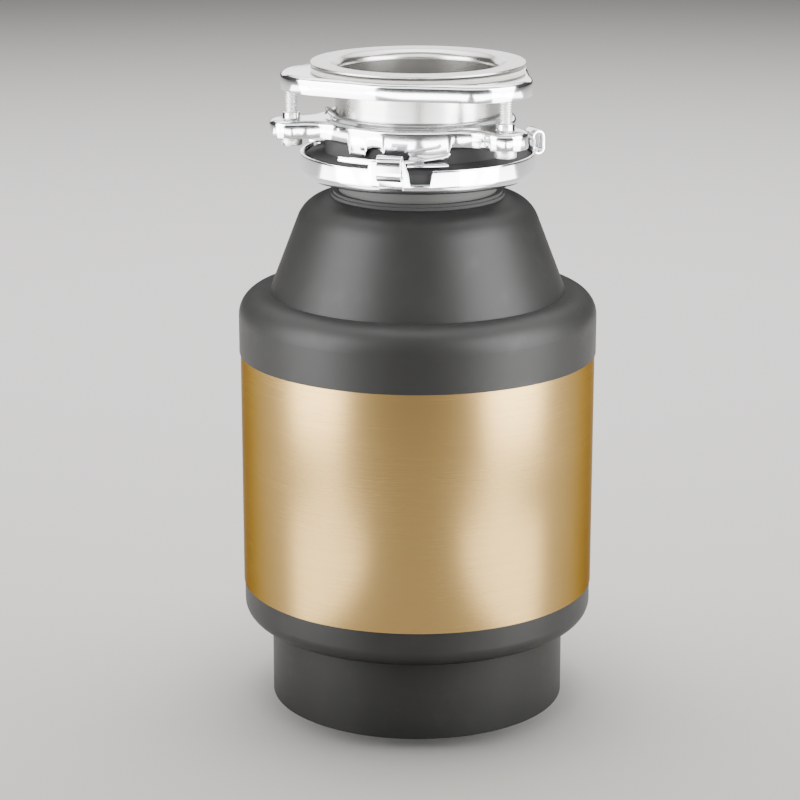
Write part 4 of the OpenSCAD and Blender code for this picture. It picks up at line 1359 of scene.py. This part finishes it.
@dataclass
class Studio:
    """The camera, the floor, the lamps and the light all around."""

    floor_name: ClassVar[str] = "studio_floor"
    eye: Colour = (-0.0095, -1.367, 0.547)
    tilt: float = 15.61
    lens: float = 117.2
    floor_size: float = 9.0
    floor_colour: Colour = (0.74, 0.73, 0.71)
    sky: float = 0.10
    lamps: tuple[Softbox, ...] = (
        Softbox("left_box", (-0.41, -0.21, 0.29), (0.0, 0.0, 0.13), (0.34, 0.56), 8.6, 140.0, Lights.product),
        Softbox("right_box", (0.39, -0.23, 0.29), (0.0, 0.0, 0.13), (0.36, 0.56), 9.4, 140.0, Lights.product),
        card("left_low_card", -0.30, -0.21, (0.24, 0.26), 4.6, Lights.product),
        card("right_low_card", 0.28, -0.23, (0.24, 0.28), 5.0, Lights.product),
        Softbox("floor_lamp", (0.0, 0.9, 1.7), (0.0, 0.9, 0.0), (3.2, 2.4), 2.8, 130.0),
        Softbox(
            "high_card", (0.0, -1.3, 1.25), (0.0, 0.0, 0.32), (2.4, 1.0), 3.0, lights=Lights.bright_parts
        ),
        Softbox("back_card", (0.0, 1.7, 0.85), (0.0, 0.0, 0.33), (2.4, 0.7), 3.0, lights=Lights.bright_parts),
        card("front_left_card", -0.62, -1.12, (1.1, 0.8), 14.0, Lights.bright_parts),
        card("front_right_card", 0.66, -1.12, (1.1, 0.8), 14.0, Lights.bright_parts),
        card("left_card", -1.3, -0.1, (0.7, 1.0), 9.0, Lights.bright_parts),
        card("right_card", 1.3, -0.1, (0.7, 1.0), 9.0, Lights.bright_parts),
    )

    def camera(self) -> None:
        """Adds the camera."""
        data = bpy.data.cameras.new("camera")
        data.lens, data.sensor_width, data.clip_end = self.lens, 36.0, 60.0
        made = bpy.data.objects.new("camera", data)
        made.location = self.eye
        made.rotation_euler = (math.radians(90.0 - self.tilt), 0.0, 0.0)
        bpy.context.scene.collection.objects.link(made)
        bpy.context.scene.camera = made

    def floor(self) -> None:
        """Adds the plain pale floor."""
        mesh = bmesh.new()
        bmesh.ops.create_grid(mesh, x_segments=24, y_segments=24, size=self.floor_size)
        made = Mesher.piece(self.floor_name, [mesh])
        if made.data.polygons[0].normal.z < 0:
            made.data.flip_normals()
        board = Board("pale_floor")
        cloud = board.noise(board.point(), 1.5, 4.0, 0.5)
        made.data.materials.append(
            board.surface(
                Base_Color=board.mixed(cloud, self.floor_colour, tuple(c * 0.97 for c in self.floor_colour)),
                Roughness=cloud * 0.1 + 0.6,
            )
        )

    def surround(self) -> None:
        """Sets the light that comes from all around, brighter from above than from the sides."""
        world = bpy.data.worlds.new("studio")
        bpy.context.scene.world = world
        world.use_nodes = True
        tree = world.node_tree
        tree.nodes.clear()
        kinds = ("TexCoord", "SeparateXYZ", "ValToRGB", "Background", "OutputWorld")
        place, parts, ramp, light, out = (tree.nodes.new(f"ShaderNode{kind}") for kind in kinds)
        stops = [(0.0, (0.35, 0.34, 0.33)), (0.12, (0.75, 0.75, 0.75)), (0.6, (1.0, 1.0, 1.0))]
        Board.set_stops(ramp, stops)
        light.inputs["Strength"].default_value = self.sky
        tree.links.new(place.outputs["Generated"], parts.inputs[0])
        tree.links.new(parts.outputs[2], ramp.inputs[0])
        tree.links.new(ramp.outputs[0], light.inputs[0])
        tree.links.new(light.outputs[0], out.inputs[0])

    def make(self) -> None:
        """Sets the whole studio up."""
        self.camera()
        self.floor()
        self.surround()
        for lamp in self.lamps:
            lamp.make()


def main() -> None:
    """Builds and dresses each sub-assembly, then the studio."""
    logging.basicConfig(level=logging.INFO, format="%(name)s: %(message)s")
    steps: tuple[Assembly, ...] = (SinkMount(), OuterBody(), GrindSection(), Motor(), Outlet())
    for assembly in steps:
        LOG.info("%s", type(assembly).__doc__)
        assembly.finish()
    Studio().make()


if __name__ == "__main__":
    main()
